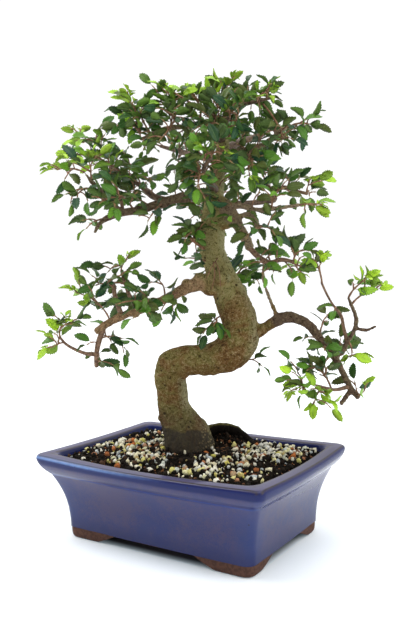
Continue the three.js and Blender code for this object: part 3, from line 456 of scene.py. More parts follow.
shell = Skin()
outer_rings = [wall_ring(*row, CORNER_RADIUS) for row in OUTER_WALL]
shell.loft(outer_rings + [wall_ring(*row, INNER_CORNER_RADIUS) for row in INNER_WALL])
GLAZE = glaze_finish()
pot = shell.piece("glazed_pot", [GLAZE], pot_frame)
corner_signs = ((1, 1), (-1, 1), (-1, -1), (1, -1))
feet = [foot_skin(sign_x, sign_y).piece("foot", [GLAZE], pot_frame) for sign_x, sign_y in corner_signs]
cut_or_join(pot, feet, "UNION")
drains = []
for side in (-1, 1):
    drain = Skin()
    circle = [(DRAIN_RADIUS * math.cos(a), DRAIN_RADIUS * math.sin(a)) for a in full_turn(DRAIN_SIDES)]
    drain.loft([[(side * DRAIN_X + x, y, height) for x, y in circle] for height in DRAIN_CUT])
    drains.append(drain.piece("drain", [GLAZE], pot_frame))
cut_or_join(pot, drains, "DIFFERENCE")
pot.data.set_sharp_from_angle(angle=SHARP_ANGLE)
places = points_of(pot.data)
beyond, level = on_the_lip(places)
inner_line = np.exp(-((beyond - INNER_LINE) / INNER_LINE_WIDTH) ** 2)
outer_line = np.exp(-((beyond - OUTER_LINE) / OUTER_LINE_WIDTH) ** 2)
off_corner = (np.abs(places[:, 0] - POT_X) - np.abs(places[:, 1] - POT_Y)) / MM
off_corner = off_corner - BASE_HALF_LENGTH + BASE_HALF_WIDTH
# A painted highlight: a pale blue line near the top of the rim's outer face on the front side, fading out
# towards the right end
pale = np.exp(-((level - HIGHLIGHT_LEVEL) / HIGHLIGHT_WIDTH) ** 2) * (beyond > HIGHLIGHT_BEYOND) * (places[:, 1] < POT_Y)
give_own(
    pot,
    lip=np.clip((level - TOP_FACE) / TOP_FACE_FADE, 0, 1),
    thin=np.clip((inner_line + outer_line) * (level > THIN_ABOVE), 0, 1),
    corner=np.exp(-(off_corner / CORNER_WIDTH) ** 2),
    pale=pale * np.clip((HIGHLIGHT_END - (places[:, 0] - POT_X) / MM) / HIGHLIGHT_FADE, 0, 1),
)
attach(pot, "root")
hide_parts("pot")

# Drain screens
# A square of woven plastic mesh lies over each drain hole, under the soil.
# Each is a grid of flat bars.
SCREEN_HALF = 11
SCREEN_BARS = 8
SCREEN_BAR_WIDTH = 1
SCREEN_LEVEL = 16.3
SCREEN_THICKNESS = 1


def block(skin, low, high):
    """A box between two corners."""
    ring = [(low[0], low[1]), (high[0], low[1]), (high[0], high[1]), (low[0], high[1])]
    skin.loft([[(x, y, low[2]) for x, y in ring], [(x, y, high[2]) for x, y in ring]])


SCREEN = Finish("drain_mesh_plastic", Base_Color=(0.015, 0.018, 0.016, 1), Roughness=0.55).material
for side, node_name in ((-1, "drain_mesh_left"), (1, "drain_mesh_right")):
    screen = Skin()
    centre = side * DRAIN_X
    for k in range(SCREEN_BARS):
        from_edge = (2 * SCREEN_HALF - SCREEN_BAR_WIDTH) * k / (SCREEN_BARS - 1) - SCREEN_HALF
        to_edge = from_edge + SCREEN_BAR_WIDTH
        top = SCREEN_LEVEL + SCREEN_THICKNESS
        middle = SCREEN_LEVEL + SCREEN_THICKNESS / 2
        low = (centre + from_edge, -SCREEN_HALF, SCREEN_LEVEL)
        block(screen, low, (centre + to_edge, SCREEN_HALF, middle))
        block(screen, (centre - SCREEN_HALF, from_edge, middle), (centre + SCREEN_HALF, to_edge, top))
    piece = screen.piece(node_name.replace("mesh", "screen"), [SCREEN], pot_frame)
    piece.data.polygons.foreach_set("use_smooth", [False] * len(piece.data.polygons))
    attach(piece, "root")
    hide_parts(node_name)

# Soil
# Dark potting mix that fills the pot to just under its rim and is heaped under the arched root.
# The bed is a closed body, and its loose grains lie on it.
SOIL_EDGE = 72
SOIL_CROWN = 4
SOIL_GAP = 0.9
TREE_TURN = math.radians(32.4)
HEAP_U, HEAP_D, HEAP_HEIGHT, HEAP_REACH_U, HEAP_REACH_D = 27, 31, 11, 24, 11
BED_RINGS = 26
BED_LIFT = 0.6
WALL_AT_SOIL = 5.8


def tree_axes(x, y):
    """How far a place is to the tree's right, and how far behind its front, from the pot's middle."""
    right = x * math.cos(TREE_TURN) + y * math.sin(TREE_TURN)
    return right, y * math.cos(TREE_TURN) - x * math.sin(TREE_TURN)


def soil_height(x, y):
    """Height of the soil: higher in the middle, with the heap under the root and with lumps."""
    across = (x / (BASE_HALF_LENGTH + 10)) ** 2
    deep = (y / (BASE_HALF_WIDTH + 10)) ** 2
    u, d = tree_axes(x, y)
    from_heap = ((u - HEAP_U) / HEAP_REACH_U) ** 2 + ((d - HEAP_D) / HEAP_REACH_D) ** 2
    mound = HEAP_HEIGHT * math.exp(-from_heap)
    lumps = 1.6 * noise.noise(Vector((x * 0.09, y * 0.09, 1.7)))
    lumps = lumps + 0.8 * noise.noise(Vector((x * 0.3, y * 0.3, 4.1)))
    return SOIL_EDGE + SOIL_CROWN * max(0, 1 - across) * max(0, 1 - deep) + mound + lumps


def soil_finish():
    soil = Finish("potting_soil", Roughness=0.95, Specular_IOR_Level=0.03)
    place = soil.place()
    crumbs = soil.noise(place, 900.0, 4.0, 0.7)
    dark_tone = soil.mix(crumbs.rise(0.42, 0.7), (0.003, 0.0026, 0.0022), (0.02, 0.014, 0.01))
    flecks = soil.cells(place, 420.0, output=1)
    red = soil.axis(flecks, "X").rise(0.95, 0.97)
    colour = soil.mix(red, dark_tone, (0.16, 0.075, 0.04))
    return soil.wear(colour, None, crumbs + soil.noise(place, 300.0) * 2, 1.0, 0.0012)


fill = Skin()
low_wall = [row for row in reversed(INNER_WALL) if row[0] < SOIL_EDGE - 2]
bed_rings = [wall_ring(height, out - SOIL_GAP, INNER_CORNER_RADIUS) for height, out in low_wall]
bed_rings[0] = [(x, y, z + BED_LIFT) for x, y, z in bed_rings[0]]
edge = wall_ring(SOIL_EDGE - 1, WALL_AT_SOIL - SOIL_GAP, INNER_CORNER_RADIUS)
bed_rings.append(edge)
for k in range(1, BED_RINGS):
    inner = 1 - k / BED_RINGS
    bed_rings.append([(x * inner, y * inner, soil_height(x * inner, y * inner)) for x, y, _ in edge])
fill.loft(bed_rings)
SOIL = soil_finish()
bed = fill.piece("soil_bed", [SOIL], pot_frame)
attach(bed, "root")
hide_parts("soil")

# Trunk and main limbs
# The S-shaped trunk, its arched surface root and its main limbs grew as one.
# Swelling tubes along given centre lines are melted into one skin, then wrinkled as bark.

# Points of each centre line in the tree's own frame, with the radius there
WOOD = {
    "trunk": [
        (-2, 14, 44, 20), (-2, 14, 71, 23), (-5.5, 14, 86, 22.3), (-12, 14, 100, 17.5),
        (-16.5, 14, 113, 14.8), (-18, 13, 128, 14), (-19, 11, 142, 14.5), (-17, 9, 151, 15),
        (-10, 6, 156, 14), (3, 3, 157.5, 13.7), (19, -2, 158.7, 14.2), (34, -4, 164, 16.5),
        (43.5, -3, 175, 17.5), (45, 0, 190, 16), (40, 4, 206, 15.5), (35, 8, 220, 14.5), (29, 11, 234, 13),
        (24, 12, 248, 11.5), (21, 12, 261, 11.5), (22, 11, 277, 11.5), (24, 10, 293, 10.5),
        (24, 8, 309, 8.5), (27, 5, 326, 7), (32, 2, 343, 6), (31, 0, 359, 4.5), (27, -2, 372, 3),
    ],
    "arched_root": [
        (2, 20, 78, 8), (15, 27, 87, 5.5), (28, 30, 89.5, 4.5), (42, 31, 85.5, 4.5), (52, 31, 77, 4),
        (60, 31, 62, 3.5),
    ],
    "left_low": [
        (29, 10, 229, 8), (17, 4, 229, 8), (6, 0, 226, 6.3), (-5, -4, 221.5, 5), (-22, -9, 213, 4.3),
        (-39, -13, 206, 4), (-55, -17, 201, 3.5), (-70, -20, 194, 3.5), (-80, -22, 187, 3),
    ],
    "right_low": [
        (46, 0, 182, 8), (59, -3, 184, 7), (68, -6, 187, 5), (79, -11, 194, 5), (89, -15, 196, 5),
        (98, -19, 193, 4.5), (106, -22, 187, 4), (115, -26, 175, 3.5), (122, -29, 165, 3.5),
        (128, -31, 155, 3), (134, -33, 142, 2.5), (138, -34, 134, 2.5), (143, -34, 128, 3),
    ],
    "right_low_stub": [(137, -34, 133, 2), (128, -38, 123, 2)],
    "right_low_rise": [
        (123, -29, 164, 3), (131, -30, 166, 2.5), (135, -31, 175, 2.5), (141, -33, 186, 2),
        (142, -34, 195, 2), (138, -36, 206, 2), (135, -38, 213, 1.5),
    ],
    "right_low_spur": [(141, -33, 187, 1.5), (149, -36, 185, 1.5), (158, -38, 188, 1)],
    "right_low_shoot": [(78, -11, 195, 2.5), (71, -16, 211, 2), (66, -20, 225, 1.5), (64, -24, 236, 1.5)],
    "left_high": [
        (25, 8, 304, 6.5), (14, 3, 305, 5), (2, -2, 304, 4.8), (-9, -6, 302, 4.6), (-24, -11, 297, 4.3),
        (-39, -16, 292, 3.8), (-56, -21, 289, 3.2), (-69, -24, 284, 2.6), (-75, -26, 279, 2),
        (-79, -27, 272, 1.5),
    ],
    "left_high_knuckle": [
        (-56, -21, 290, 3), (-64, -24, 294, 3), (-69, -27, 299, 2.5), (-71, -31, 307, 2),
        (-79, -36, 314, 1.5), (-84, -40, 321, 1),
    ],
    "right_stub": [
        (28, 8, 296, 6.5), (37, -2, 291, 6), (44, -10, 278, 5), (49, -14, 268, 4.5), (54, -17, 257, 4),
    ],
    "mid_right_upper": [(43, -8, 284, 3), (52, -16, 286, 2.5), (58, -22, 280, 2.5), (63, -27, 269, 2)],
    "right_mid": [
        (26, 7, 301, 5.5), (39, -12, 295, 4), (51, -20, 292, 3), (60, -25, 289, 2), (72, -30, 289, 2),
        (84, -34, 290, 1.5), (95, -38, 291, 1.5),
    ],
    "crown_left": [
        (31, 0, 357, 4.5), (18, -6, 366, 3), (4, -12, 363, 2.5), (-12, -18, 361, 2.5), (-26, -23, 356, 2),
        (-38, -27, 350, 1.5),
    ],
    "crown_mid_right": [
        (32, 4, 338, 4.5), (45, -6, 342, 3), (58, -12, 344, 2.5), (68, -17, 346, 2.5), (75, -20, 351, 2),
        (81, -23, 356, 2), (87, -25, 358, 1.5),
    ],
}
# Knots and knobs: their middle and radius
KNOTS = [
    (-28, 8, 104, 3.6), (-6, 5, 146, 5.5), (20.5, -8, 149, 4), (30, -2, 231, 7), (20, 1, 221, 6.5),
    (34, 3, 281, 6.5), (50, -12, 266, 4.5), (-2, -4, 226.6, 4.9), (10, 0, 230.6, 6.2), (17, 2, 222, 6.3),
    (-31, -13, 211.6, 3.8), (-47, -16, 201.4, 3.7), (-60, -19, 200.6, 3.4),
]
THIN_LIMBS = [
    "crown_left", "crown_mid_right", "right_mid", "mid_right_upper", "right_stub", "right_low_shoot",
]
# Limbs with grey bark, and the point of each where it starts
WEATHERED_LIMBS = {
    "left_high": 1, "left_high_knuckle": 0, "right_low": 3, "right_low_stub": 0, "right_low_rise": 0,
    "right_low_spur": 0,
}
LIMB_STEP = 2.5
TRUNK_SIDES = 24
LIMB_SIDES = 14
KNOT_SIDES = 12
SKIN_CELL = 1.15
BARK_LUMPS = 0.9
BARK_WRINKLES = 0.55
BARK_FADE = 3


def smooth_line(points, step):
    """Points about step apart on a smooth curve through given ones, whatever each point holds."""
    rows = np.array(points, dtype=float)
    padded = np.vstack([2 * rows[0] - rows[1], rows, 2 * rows[-1] - rows[-2]])
    line = []
    for i in range(len(rows) - 1):
        a, b, c, d = padded[i:i + 4]
        count = max(1, round(np.linalg.norm(c[:3] - b[:3]) / step))
        for k in range(count):
            t = k / count
            bend = (2 * a - 5 * b + 4 * c - d) * t * t
            line.append(0.5 * (2 * b + (c - a) * t + bend + (3 * b - a - 3 * c + d) * t ** 3))
    line.append(rows[-1])
    return np.array(line)


def tube_rings(middles, radii, sides):
    """Rings round a line, turned as little as they can be from one to the next."""
    ahead = np.gradient(middles, axis=0)
    ahead /= np.linalg.norm(ahead, axis=1)[:, None]
    across = np.cross((0.31, 0.9, 0.3), ahead[0])
    rings = []
    for middle, radius, forward in zip(middles, radii, ahead):
        across = across - forward * np.dot(across, forward)
        across /= np.linalg.norm(across)
        other = np.cross(forward, across)
        turned = [across * math.cos(a) + other * math.sin(a) for a in full_turn(sides)]
        rings.append([middle + radius * way for way in turned])
    return rings


def add_limb(skin, points, sides, material=0):
    """A closed limb with a rounded tip."""
    line = smooth_line(points, LIMB_STEP)
    middles = line[:, :3]
    radii = line[:, 3]
    ahead = middles[-1] - middles[-2]
    ahead = ahead / np.linalg.norm(ahead)
    middles = np.vstack([middles, middles[-1] + ahead * radii[-1] * 0.6])
    radii = np.append(radii, radii[-1] * 0.55)
    skin.loft(tube_rings(middles, radii, sides), material)


def tree_frame(points):
    """Points of the tree's own frame, in millimetres, to the model's frame."""
    u, d, z = points[:, 0], points[:, 1], points[:, 2]
    x = u * math.cos(TREE_TURN) - d * math.sin(TREE_TURN)
    y = u * math.sin(TREE_TURN) + d * math.cos(TREE_TURN)
    return pot_frame(np.stack([x, y, z], axis=1))


def tree_places(points):
    """Points of the model's frame back in the tree's own, in millimetres."""
    u, d = tree_axes(points[:, 0] / MM - POT_X / MM, points[:, 1] / MM - POT_Y / MM)
    return np.stack([u, d, points[:, 2] / MM], axis=1)


BARK_OLIVE = (0.24, 0.2, 0.062)
BARK_BROWN = (0.225, 0.12, 0.042)
BARK_RUST = (0.25, 0.12, 0.04)
BARK_LIGHT = (0.52, 0.4, 0.2)
BARK_HIGH = (0.42, 0.38, 0.15)
BARK_LIT_FLANK = (0.5, 0.52, 0.3)
BARK_LIMB = (0.33, 0.24, 0.17)
BARK_WARM = (0.5, 0.31, 0.17)
BARK_SCAR = (0.12, 0.062, 0.034)
BARK_WEATHERED = (0.15, 0.1, 0.078)
BARK_DARK = (0.045, 0.028, 0.012)
BARK_DAMP_AND_SHADE = (0.066, 0.056, 0.044)
MOSS_OLIVE = (0.13, 0.115, 0.035)
ROOT_DARK_AND_SHADE = (0.012, 0.009, 0.007)


def bark_finish():
    bark = Finish("elm_bark", Roughness=0.85, Specular_IOR_Level=0.06)
    place = bark.place()
    height = bark.axis(place, "Z") / MM
    patches = bark.noise(place, 40.0, 4.0, 0.6, 1.0)
    swirls = bark.noise(place, 170.0, 4.0, 0.62, 2.2)
    fine = bark.noise(place, 480.0, 4.0, 0.72, 1.6)
    green = (patches * 0.7 + bark.noise(place, 120.0) * 0.3).rise(0.42, 0.58)
    colour = bark.mix(green, BARK_BROWN, BARK_OLIVE)
    colour = bark.mix((height + patches * 60).rise(225, 275) * 0.85, colour, BARK_HIGH)
    colour = bark.mix(bark.own("under") * (0.25 + swirls), colour, BARK_RUST)
    colour = bark.mix(bark.own("thin") * 0.85, colour, BARK_LIMB)
    colour = bark.mix(bark.own("warm") * 0.85, colour, BARK_WARM)
    scars = (patches * 0.35 + swirls * 0.65).rise(0.49, 0.57) * bark.own("warm")
    colour = bark.mix(scars * 0.75, colour, BARK_SCAR)
    colour = bark.mix(bark.own("weathered") * 0.85, colour, BARK_WEATHERED)
    # Painted highlight: pale grey-green patches on the flanks that face the right, as if lit from there
    pale = bark.own("flank") * (fine * 0.5 + swirls * 0.5).rise(0.4, 0.55)
    colour = bark.mix(pale * 0.75, colour, BARK_LIT_FLANK)
    crests = (swirls * 0.4 + fine * 0.6).rise(0.51, 0.6)
    crests = crests * (0.72 - bark.own("weathered") * 0.4 - bark.own("warm") * 0.25)
    colour = bark.mix(crests, colour, BARK_LIGHT)
    folds = (swirls * 0.45 + fine * 0.55).rise(0.48, 0.4)
    pits = bark.cells(place, 120.0).rise(0.2, 0.1) * patches.rise(0.45, 0.55)
    colour = bark.mix((folds * 0.85).math("MAXIMUM", pits * 0.9), colour, BARK_DARK)
    # Painted shade: the lower trunk darkens towards the soil. Its foot is darker still where damp, and that
    # damp band stops lower on the flank facing the right, which is painted as lit
    shade = (height + patches * 16).rise(134, 108) * 0.45
    wet = (height + bark.noise(place, 60.0, 3.0) * 14 + bark.own("flank") * 10).rise(106, 102)
    dark_tone = wet.math("MAXIMUM", shade)
    drawn_out = bark.node("ShaderNodeMapping", None, {"Vector": place, "Scale": (1, 1, 0.15)})
    streaks = bark.noise(drawn_out, 500.0)
    colour = bark.mix(dark_tone * (0.72 + streaks * 0.4).math("MINIMUM", 1.0), colour, BARK_DAMP_AND_SHADE)
    nubs = bark.cells(place, 330.0).rise(0.4, 0.2) * bark.own("flank") * height.rise(112, 106)
    colour = bark.mix(nubs * 0.8, colour, BARK_LIGHT)
    # Dark root bark and painted shade: the arched root is near black all over but for its mossy top
    colour = bark.mix(bark.own("root"), colour, ROOT_DARK_AND_SHADE)
    moss = bark.own("moss") * bark.noise(place, 400.0).rise(0.3, 0.5)
    colour = bark.mix(moss, colour, MOSS_OLIVE)
    relief = fine * 0.9 + swirls * 2.4 + patches - pits * 0.6
    return bark.wear(colour, None, relief, 1.0, 0.0026)


thick = Skin()
for name, points in WOOD.items():
    add_limb(thick, points, TRUNK_SIDES if name == "trunk" else LIMB_SIDES)
ball = [(math.cos(a), math.sin(a)) for a in np.linspace(-1.4, 1.4, 7)]
circle = [(math.cos(a), math.sin(a)) for a in full_turn(KNOT_SIDES)]
for u, d, z, radius in KNOTS:
    thick.loft([
        [(u + radius * c * x, d + radius * c * y, z + radius * s) for x, y in circle] for c, s in ball
    ])
BARK = bark_finish()
trunk = thick.piece("bark_trunk", [BARK], tree_frame)
melt = trunk.modifiers.new("melt", "REMESH")
melt.mode = "VOXEL"
melt.voxel_size = SKIN_CELL * MM
ease = trunk.modifiers.new("ease", "SMOOTH")
ease.factor = 0.5
ease.iterations = 3
keep_shape(trunk)
skin_mesh = trunk.data
places = points_of(skin_mesh)
normals = np.empty(places.size)
skin_mesh.vertex_normals.foreach_get("vector", normals)
normals = normals.reshape(-1, 3)
lift = np.empty(len(places))
for i, place in enumerate(places):
    here = Vector(place)
    lump = noise.noise(here * 70) + 0.6 * noise.noise(here * 150)
    wrinkle = noise.noise(Vector((place[0] * 260, place[1] * 260, place[2] * 620)))
    lift[i] = BARK_LUMPS * lump + BARK_WRINKLES * wrinkle
skin_mesh.vertices.foreach_set("co", (places + normals * (lift * MM)[:, None]).ravel())
skin_mesh.polygons.foreach_set("use_smooth", [True] * len(skin_mesh.polygons))
skin_mesh.update()
turned_back = tree_places(places)


def near_line(points, reach):
    """1 where the bark is within reach of a limb's skin, fading to 0 a little further out."""
    line = smooth_line(points, 3)
    away = np.full(len(places), 1e9)
    for row in line:
        away = np.minimum(away, np.linalg.norm(turned_back - row[:3], axis=1) - row[3])
    return np.clip(1 - (away - reach) / BARK_FADE, 0, 1)


root = near_line(WOOD["arched_root"][1:], 1.2)
facing_up = np.clip(normals[:, 2] * 4 - 2.6, 0, 1)
# How much the bark faces the right: a highlight is painted there, and the damp band stops lower
from_right = (normals[:, 0] * 0.9 + normals[:, 1] * 0.42) * np.sqrt(np.clip(1 - normals[:, 2] ** 2, 0, 1))
flank = np.clip(from_right * 2 - 0.9, 0, 1)
under = np.clip(-normals[:, 2] * 1.6 - 0.2, 0, 1)
thin = np.maximum.reduce([near_line(WOOD[name][1:], 0.8) for name in THIN_LIMBS])
warm = near_line(WOOD["left_low"][2:], 1.2)
grey = np.maximum.reduce([near_line(WOOD[name][start:], 0.8) for name, start in WEATHERED_LIMBS.items()])
give_own(
    trunk, root=root, moss=root * facing_up, thin=thin, warm=warm, weathered=grey, flank=flank, under=under,
)
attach(trunk, "root")
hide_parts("trunk")

# Sprays
# Each leafy branchlet is thin limbs, zigzag shoots and small toothed leaves, grown as one.
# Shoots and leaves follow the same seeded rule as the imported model, with its leaves in their places.

# Thin limbs that belong to a spray, laid out as the wood above
LIMBS = {
    "left_low_drop": [(-74, -21, 191, 2.5), (-79, -22, 177, 2.5), (-81, -23, 165, 2), (-81, -23, 157, 2)],
    "left_low_reach": [
        (-80, -23, 167, 2), (-91, -27, 169, 1.5), (-104, -30, 176, 1.2), (-110, -32, 183, 1),
    ],
    "left_low_rise_front": [
        (-59, -17, 200, 2.5), (-62, -20, 211, 2), (-64, -22, 219, 2), (-64, -24, 227, 1.5),
    ],
    "left_low_rise_back": [
        (-48, -15, 204, 2.5), (-51, -10, 213, 2), (-56, -6, 226, 1.5), (-60, -4, 239, 1),
    ],
    "right_low_cluster": [
        (136, -34, 137, 2), (124, -38, 135, 1.5), (115, -42, 137, 1.5), (107, -45, 140, 1),
    ],
    "right_low_rise_back": [
        (135, -31, 175, 2), (133, -27, 186, 1.5), (131, -25, 197, 1.5), (124, -24, 207, 1),
        (119, -24, 216, 1), (115, -24, 225, 1),
    ],
    "left_high_mid": [
        (-17, -9, 300, 3), (-29, -3, 304, 3), (-35, 1, 309, 3), (-42, 6, 315, 2), (-55, 12, 325, 2),
        (-69, 17, 333, 1.5),
    ],
    "left_high_inner": [(-55, -20, 290, 1.5), (-58, -17, 302, 1.5), (-65, -16, 314, 1)],
    "mid_right": [
        (52, -17, 259, 2.5), (61, -20, 249, 2.5), (71, -23, 244, 2), (80, -26, 246, 2), (90, -29, 244, 1.5),
    ],
    "right_mid_back": [
        (34, -4, 297, 3), (52, 6, 298, 2.5), (70, 14, 300, 2.5), (80, 18, 303, 2), (72, 26, 319, 1.5),
    ],
    "right_mid_out": [(77, 19, 306, 2), (87, 18, 313, 2), (99, 14, 309, 1.5), (108, 10, 306, 1.5)],
    "crown_right": [
        (29, -1, 366, 3), (42, -8, 380, 2.5), (54, -13, 382, 2), (64, -18, 383, 1.5), (75, -22, 384, 1),
    ],
    "back_low": [(37, 10, 218, 6.5), (43, 40, 223, 4.5), (37, 62, 232, 3), (24, 82, 239, 2)],
    "back_mid": [(23, 11, 270, 6.5), (15, 40, 281, 4.5), (21, 62, 295, 3), (33, 84, 309, 2)],
    "back_high": [(27, 6, 323, 4.5), (38, 30, 335, 3.5), (46, 52, 348, 2.5), (40, 72, 364, 2)],
    "back_left_high": [(30, 4, 335, 4), (8, 28, 345, 3), (-9, 48, 353, 2.5), (-27, 64, 361, 1.5)],
    "back_right_high": [(31, 2, 345, 4), (55, 30, 359, 3), (73, 52, 368, 2)],
    "front_high": [(25, 8, 309, 4.5), (20, -22, 315, 3), (15, -42, 321, 2), (21, -60, 328, 1.5)],
    "front_crown": [(31, 0, 353, 3.5), (32, -26, 358, 2), (37, -44, 363, 1.5)],
}
# The shoots: their spray, the limb they leave and how far along it, the lead shoot's tip and side tips
SHOOT_ROWS = [
    ("low_left_tip", "left_low_reach", 0.8, (-125, -38, 172), (-111, -18, 188)),
    ("low_left_tip", "left_low_reach", 1, (-106, -34, 205), (-89, -50, 200)),
    ("low_left_tip", "left_low_drop", 0.25, (-49, -6, 179)),
    ("low_left_tip", "left_low_drop", 0.9, (-70, -38, 164)),
    ("low_left_lime", "left_low", 0.86, (-105, -30, 229)),
    ("low_left_upper", "left_low_rise_back", 1, (-51, -2, 257), (-82, 14, 236)),
    ("low_left_upper", "left_low_rise_back", 0.55, (-61, -22, 239), (-85, 0, 224)),
    ("low_left_inner", "left_low_rise_front", 0.9, (-89, -36, 229), (-46, -32, 241)),
    ("low_left_slip", "left_low", 0.5, (-30, -24, 242)),
    ("low_left_drop", "left_low", 0.36, (-32, -24, 197), (-6, -30, 203)),
    ("low_left_back", "left_low", 0.66, (-70, 44, 212), (-92, 30, 207)),
    ("low_left_front", "left_low", 0.58, (-47, -70, 198), (-66, -62, 212)),
    ("low_left_near", "left_low", 0.3, (-22, 26, 200)),
    ("low_right_lime", "right_low_rise", 1, (155, -48, 236)),
    ("low_right_far", "right_low_rise", 0.85, (168, -44, 226)),
    ("low_right_upper", "right_low_rise_back", 1, (105, -22, 257), (114, -34, 251)),
    ("low_right_upper", "right_low_rise_back", 0.55, (122, -44, 200)),
    ("low_right_end", "right_low", 0.97, (155, -44, 139), (142, -14, 146)),
    ("low_right_cluster", "right_low_cluster", 1, (77, -58, 137), (88, -62, 129)),
    ("low_right_cluster", "right_low_cluster", 0.75, (98, -44, 117), (110, -60, 136)),
    ("low_right_cluster", "right_low_cluster", 0.5, (93, -46, 167), (115, -60, 163)),
    ("low_right_mid", "right_low", 0.55, (115, 2, 170), (136, 14, 206)),
    ("low_right_curl", "right_low_rise", 0.35, (140, -26, 150)),
    ("low_right_back", "right_low", 0.72, (146, 36, 168)),
    ("low_right_front", "right_low", 0.66, (107, -72, 173)), ("trunk_side", "trunk", 0.44, (73, 8, 158)),
    ("left_lime", "left_high_knuckle", 1, (-118, -46, 324)),
    ("left_low_leafy", "left_high_knuckle", 0.6, (-113, -34, 303), (-94, -54, 294)),
    ("left_top", "left_high_mid", 1, (-110, 22, 375), (-94, 40, 365)),
    ("left_top", "left_high_mid", 0.85, (-112, 2, 348)),
    ("left_top", "left_high_mid", 0.6, (-82, 58, 336), (-60, 44, 350)),
    ("left_top", "left_high_mid", 0.3, (-40, -34, 326)),
    ("left_hanging", "left_high", 0.78, (-98, -14, 272)),
    ("left_under", "left_high", 0.42, (-40, -30, 273), (-31, -16, 284)),
    ("left_knee", "left_high_knuckle", 0.8, (-78, -56, 338), (-96, -66, 329)),
    ("left_back", "left_high", 0.5, (-67, 40, 311), (-89, 24, 305)),
    ("left_front", "left_high", 0.6, (-57, -74, 299), (-78, -64, 291)),
    ("left_inner", "left_high_inner", 1, (-79, -10, 326), (-59, -26, 335)),
    ("crown_left_lime", "crown_left", 1, (-48, -38, 393), (-47, -50, 376)),
    ("crown_left_back", "crown_left", 0.85, (-44, 6, 388)),
    ("crown_left_top", "crown_left", 0.62, (-15, -16, 403), (-31, -2, 392)),
    ("crown_left_front", "crown_left", 0.5, (-11, -56, 369), (-24, -62, 336)),
    ("crown_middle", "crown_left", 0.28, (4, -2, 406), (1, -26, 396)),
    ("crown_apex", "trunk", 1, (45, -4, 413), (31, 14, 397)),
    ("crown_right", "crown_right", 0.7, (76, -28, 394), (61, -34, 369)),
    ("crown_right", "crown_right", 0.5, (57, 2, 397), (69, 18, 389)),
    ("crown_right_far", "crown_mid_right", 1, (120, -34, 358), (92, -12, 355)),
    ("crown_right_low", "crown_mid_right", 0.8, (83, -36, 338)),
    ("crown_right_front", "crown_mid_right", 0.42, (50, -50, 308), (56, -56, 318)),
    ("right_out", "right_mid_out", 1, (111, 14, 322), (114, 22, 300)),
    ("right_out", "right_mid_out", 0.45, (102, 30, 330), (87, 6, 329)),
    ("right_out", "right_mid_back", 1, (63, 44, 341), (86, 46, 331)),
    ("right_end", "right_mid", 1, (115, -48, 289), (99, -32, 282)),
    ("right_front", "right_mid", 0.66, (73, -62, 304), (90, -54, 302)),
    ("mid_right", "mid_right", 1, (102, -38, 263), (83, -22, 275)),
    ("mid_right", "mid_right", 0.9, (110, -36, 235), (98, -12, 232)),
    ("mid_right", "mid_right", 0.5, (80, 14, 256)), ("mid_right", "mid_right", 0.4, (61, -50, 227)),
    ("stub", "mid_right_upper", 0.8, (80, -50, 262), (40, -44, 258)),
    ("trunk_left_upper", "trunk", 0.72, (-9, -16, 268), (1, -34, 273)),
    ("trunk_left_lower", "trunk", 0.67, (-12, -14, 251)),
    ("trunk_hanging", "trunk", 0.56, (7, -20, 176), (20, -34, 187)),
    ("back_low", "back_low", 1, (5, 104, 248), (36, 108, 254)),
    ("back_low", "back_low", 0.6, (72, 78, 237), (60, 56, 250)),
    ("back_mid", "back_mid", 1, (15, 104, 325), (52, 108, 322)),
    ("back_mid", "back_mid", 0.6, (-11, 70, 305), (-28, 50, 317)),
    ("back_high", "back_high", 1, (40, 88, 392), (64, 86, 376)),
    ("back_high", "back_high", 0.6, (78, 66, 346), (67, 78, 330)),
    ("back_left", "back_left_high", 1, (-55, 72, 367), (-36, 50, 378)),
    ("back_left", "back_left_high", 0.55, (-13, 72, 337), (2, 62, 374)),
    ("back_right", "back_right_high", 1, (98, 66, 375), (84, 44, 387)),
    ("front_high", "front_high", 1, (17, -78, 334), (37, -80, 330)),
    ("front_high", "front_high", 0.6, (-2, -62, 315), (9, -72, 296)),
    ("front_crown", "front_crown", 1, (37, -58, 374), (50, -62, 357)),
    ("front_crown", "front_crown", 0.55, (13, -62, 353), (20, -20, 380)),
]
# Sprays that hold thin limbs of their own
SPRAY_LIMBS = {
    "low_left_tip": ["left_low_drop", "left_low_reach"], "low_left_upper": ["left_low_rise_back"],
    "low_left_inner": ["left_low_rise_front"], "low_right_upper": ["right_low_rise_back"],
    "low_right_cluster": ["right_low_cluster"], "left_top": ["left_high_mid"],
    "left_inner": ["left_high_inner"], "crown_right": ["crown_right"],
    "right_out": ["right_mid_back", "right_mid_out"], "mid_right": ["mid_right"], "back_low": ["back_low"],
    "back_mid": ["back_mid"], "back_high": ["back_high"], "back_left": ["back_left_high"],
    "back_right": ["back_right_high"], "front_high": ["front_high"], "front_crown": ["front_crown"],
}
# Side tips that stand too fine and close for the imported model: spray, row of shoots, tip
FINE_TIPS = [
    ("low_left_lime", 0, (-82, -48, 222)), ("low_right_lime", 0, (140, -22, 231)),
    ("low_right_upper", 0, (105, -2, 244)), ("low_right_cluster", 0, (89, -30, 158)),
    ("left_lime", 0, (-109, -30, 310)), ("left_top", 1, (-88, -14, 344)),
    ("crown_left_lime", 0, (-66, -20, 358)), ("crown_right_low", 0, (89, -8, 346)),
    ("back_low", 0, (15, 70, 232)), ("back_mid", 0, (6, 92, 299)), ("back_high", 0, (16, 82, 376)),
    ("back_left", 0, (-43, 82, 349)), ("back_right", 0, (96, 48, 352)), ("front_high", 0, (4, -66, 325)),
    ("front_crown", 0, (25, -40, 369)),
]
# Numbers of the shoots whose new leaves are still lime green
LIME_SHOOTS = {1, 3, 7, 8, 22, 23, 25, 27, 29, 31, 32, 37, 41, 44, 46, 53, 61, 64, 68, 70, 72, 81, 87, 94}
# Green shoots with a lime tuft at their tip
TUFTED_SHOOTS = {79, 122, 123}
LEAF_LENGTH = 16.5
LEAF_LENGTH_RANGE = 4
LEAF_ASPECT = 0.46
LEAF_SPACING = 5.5
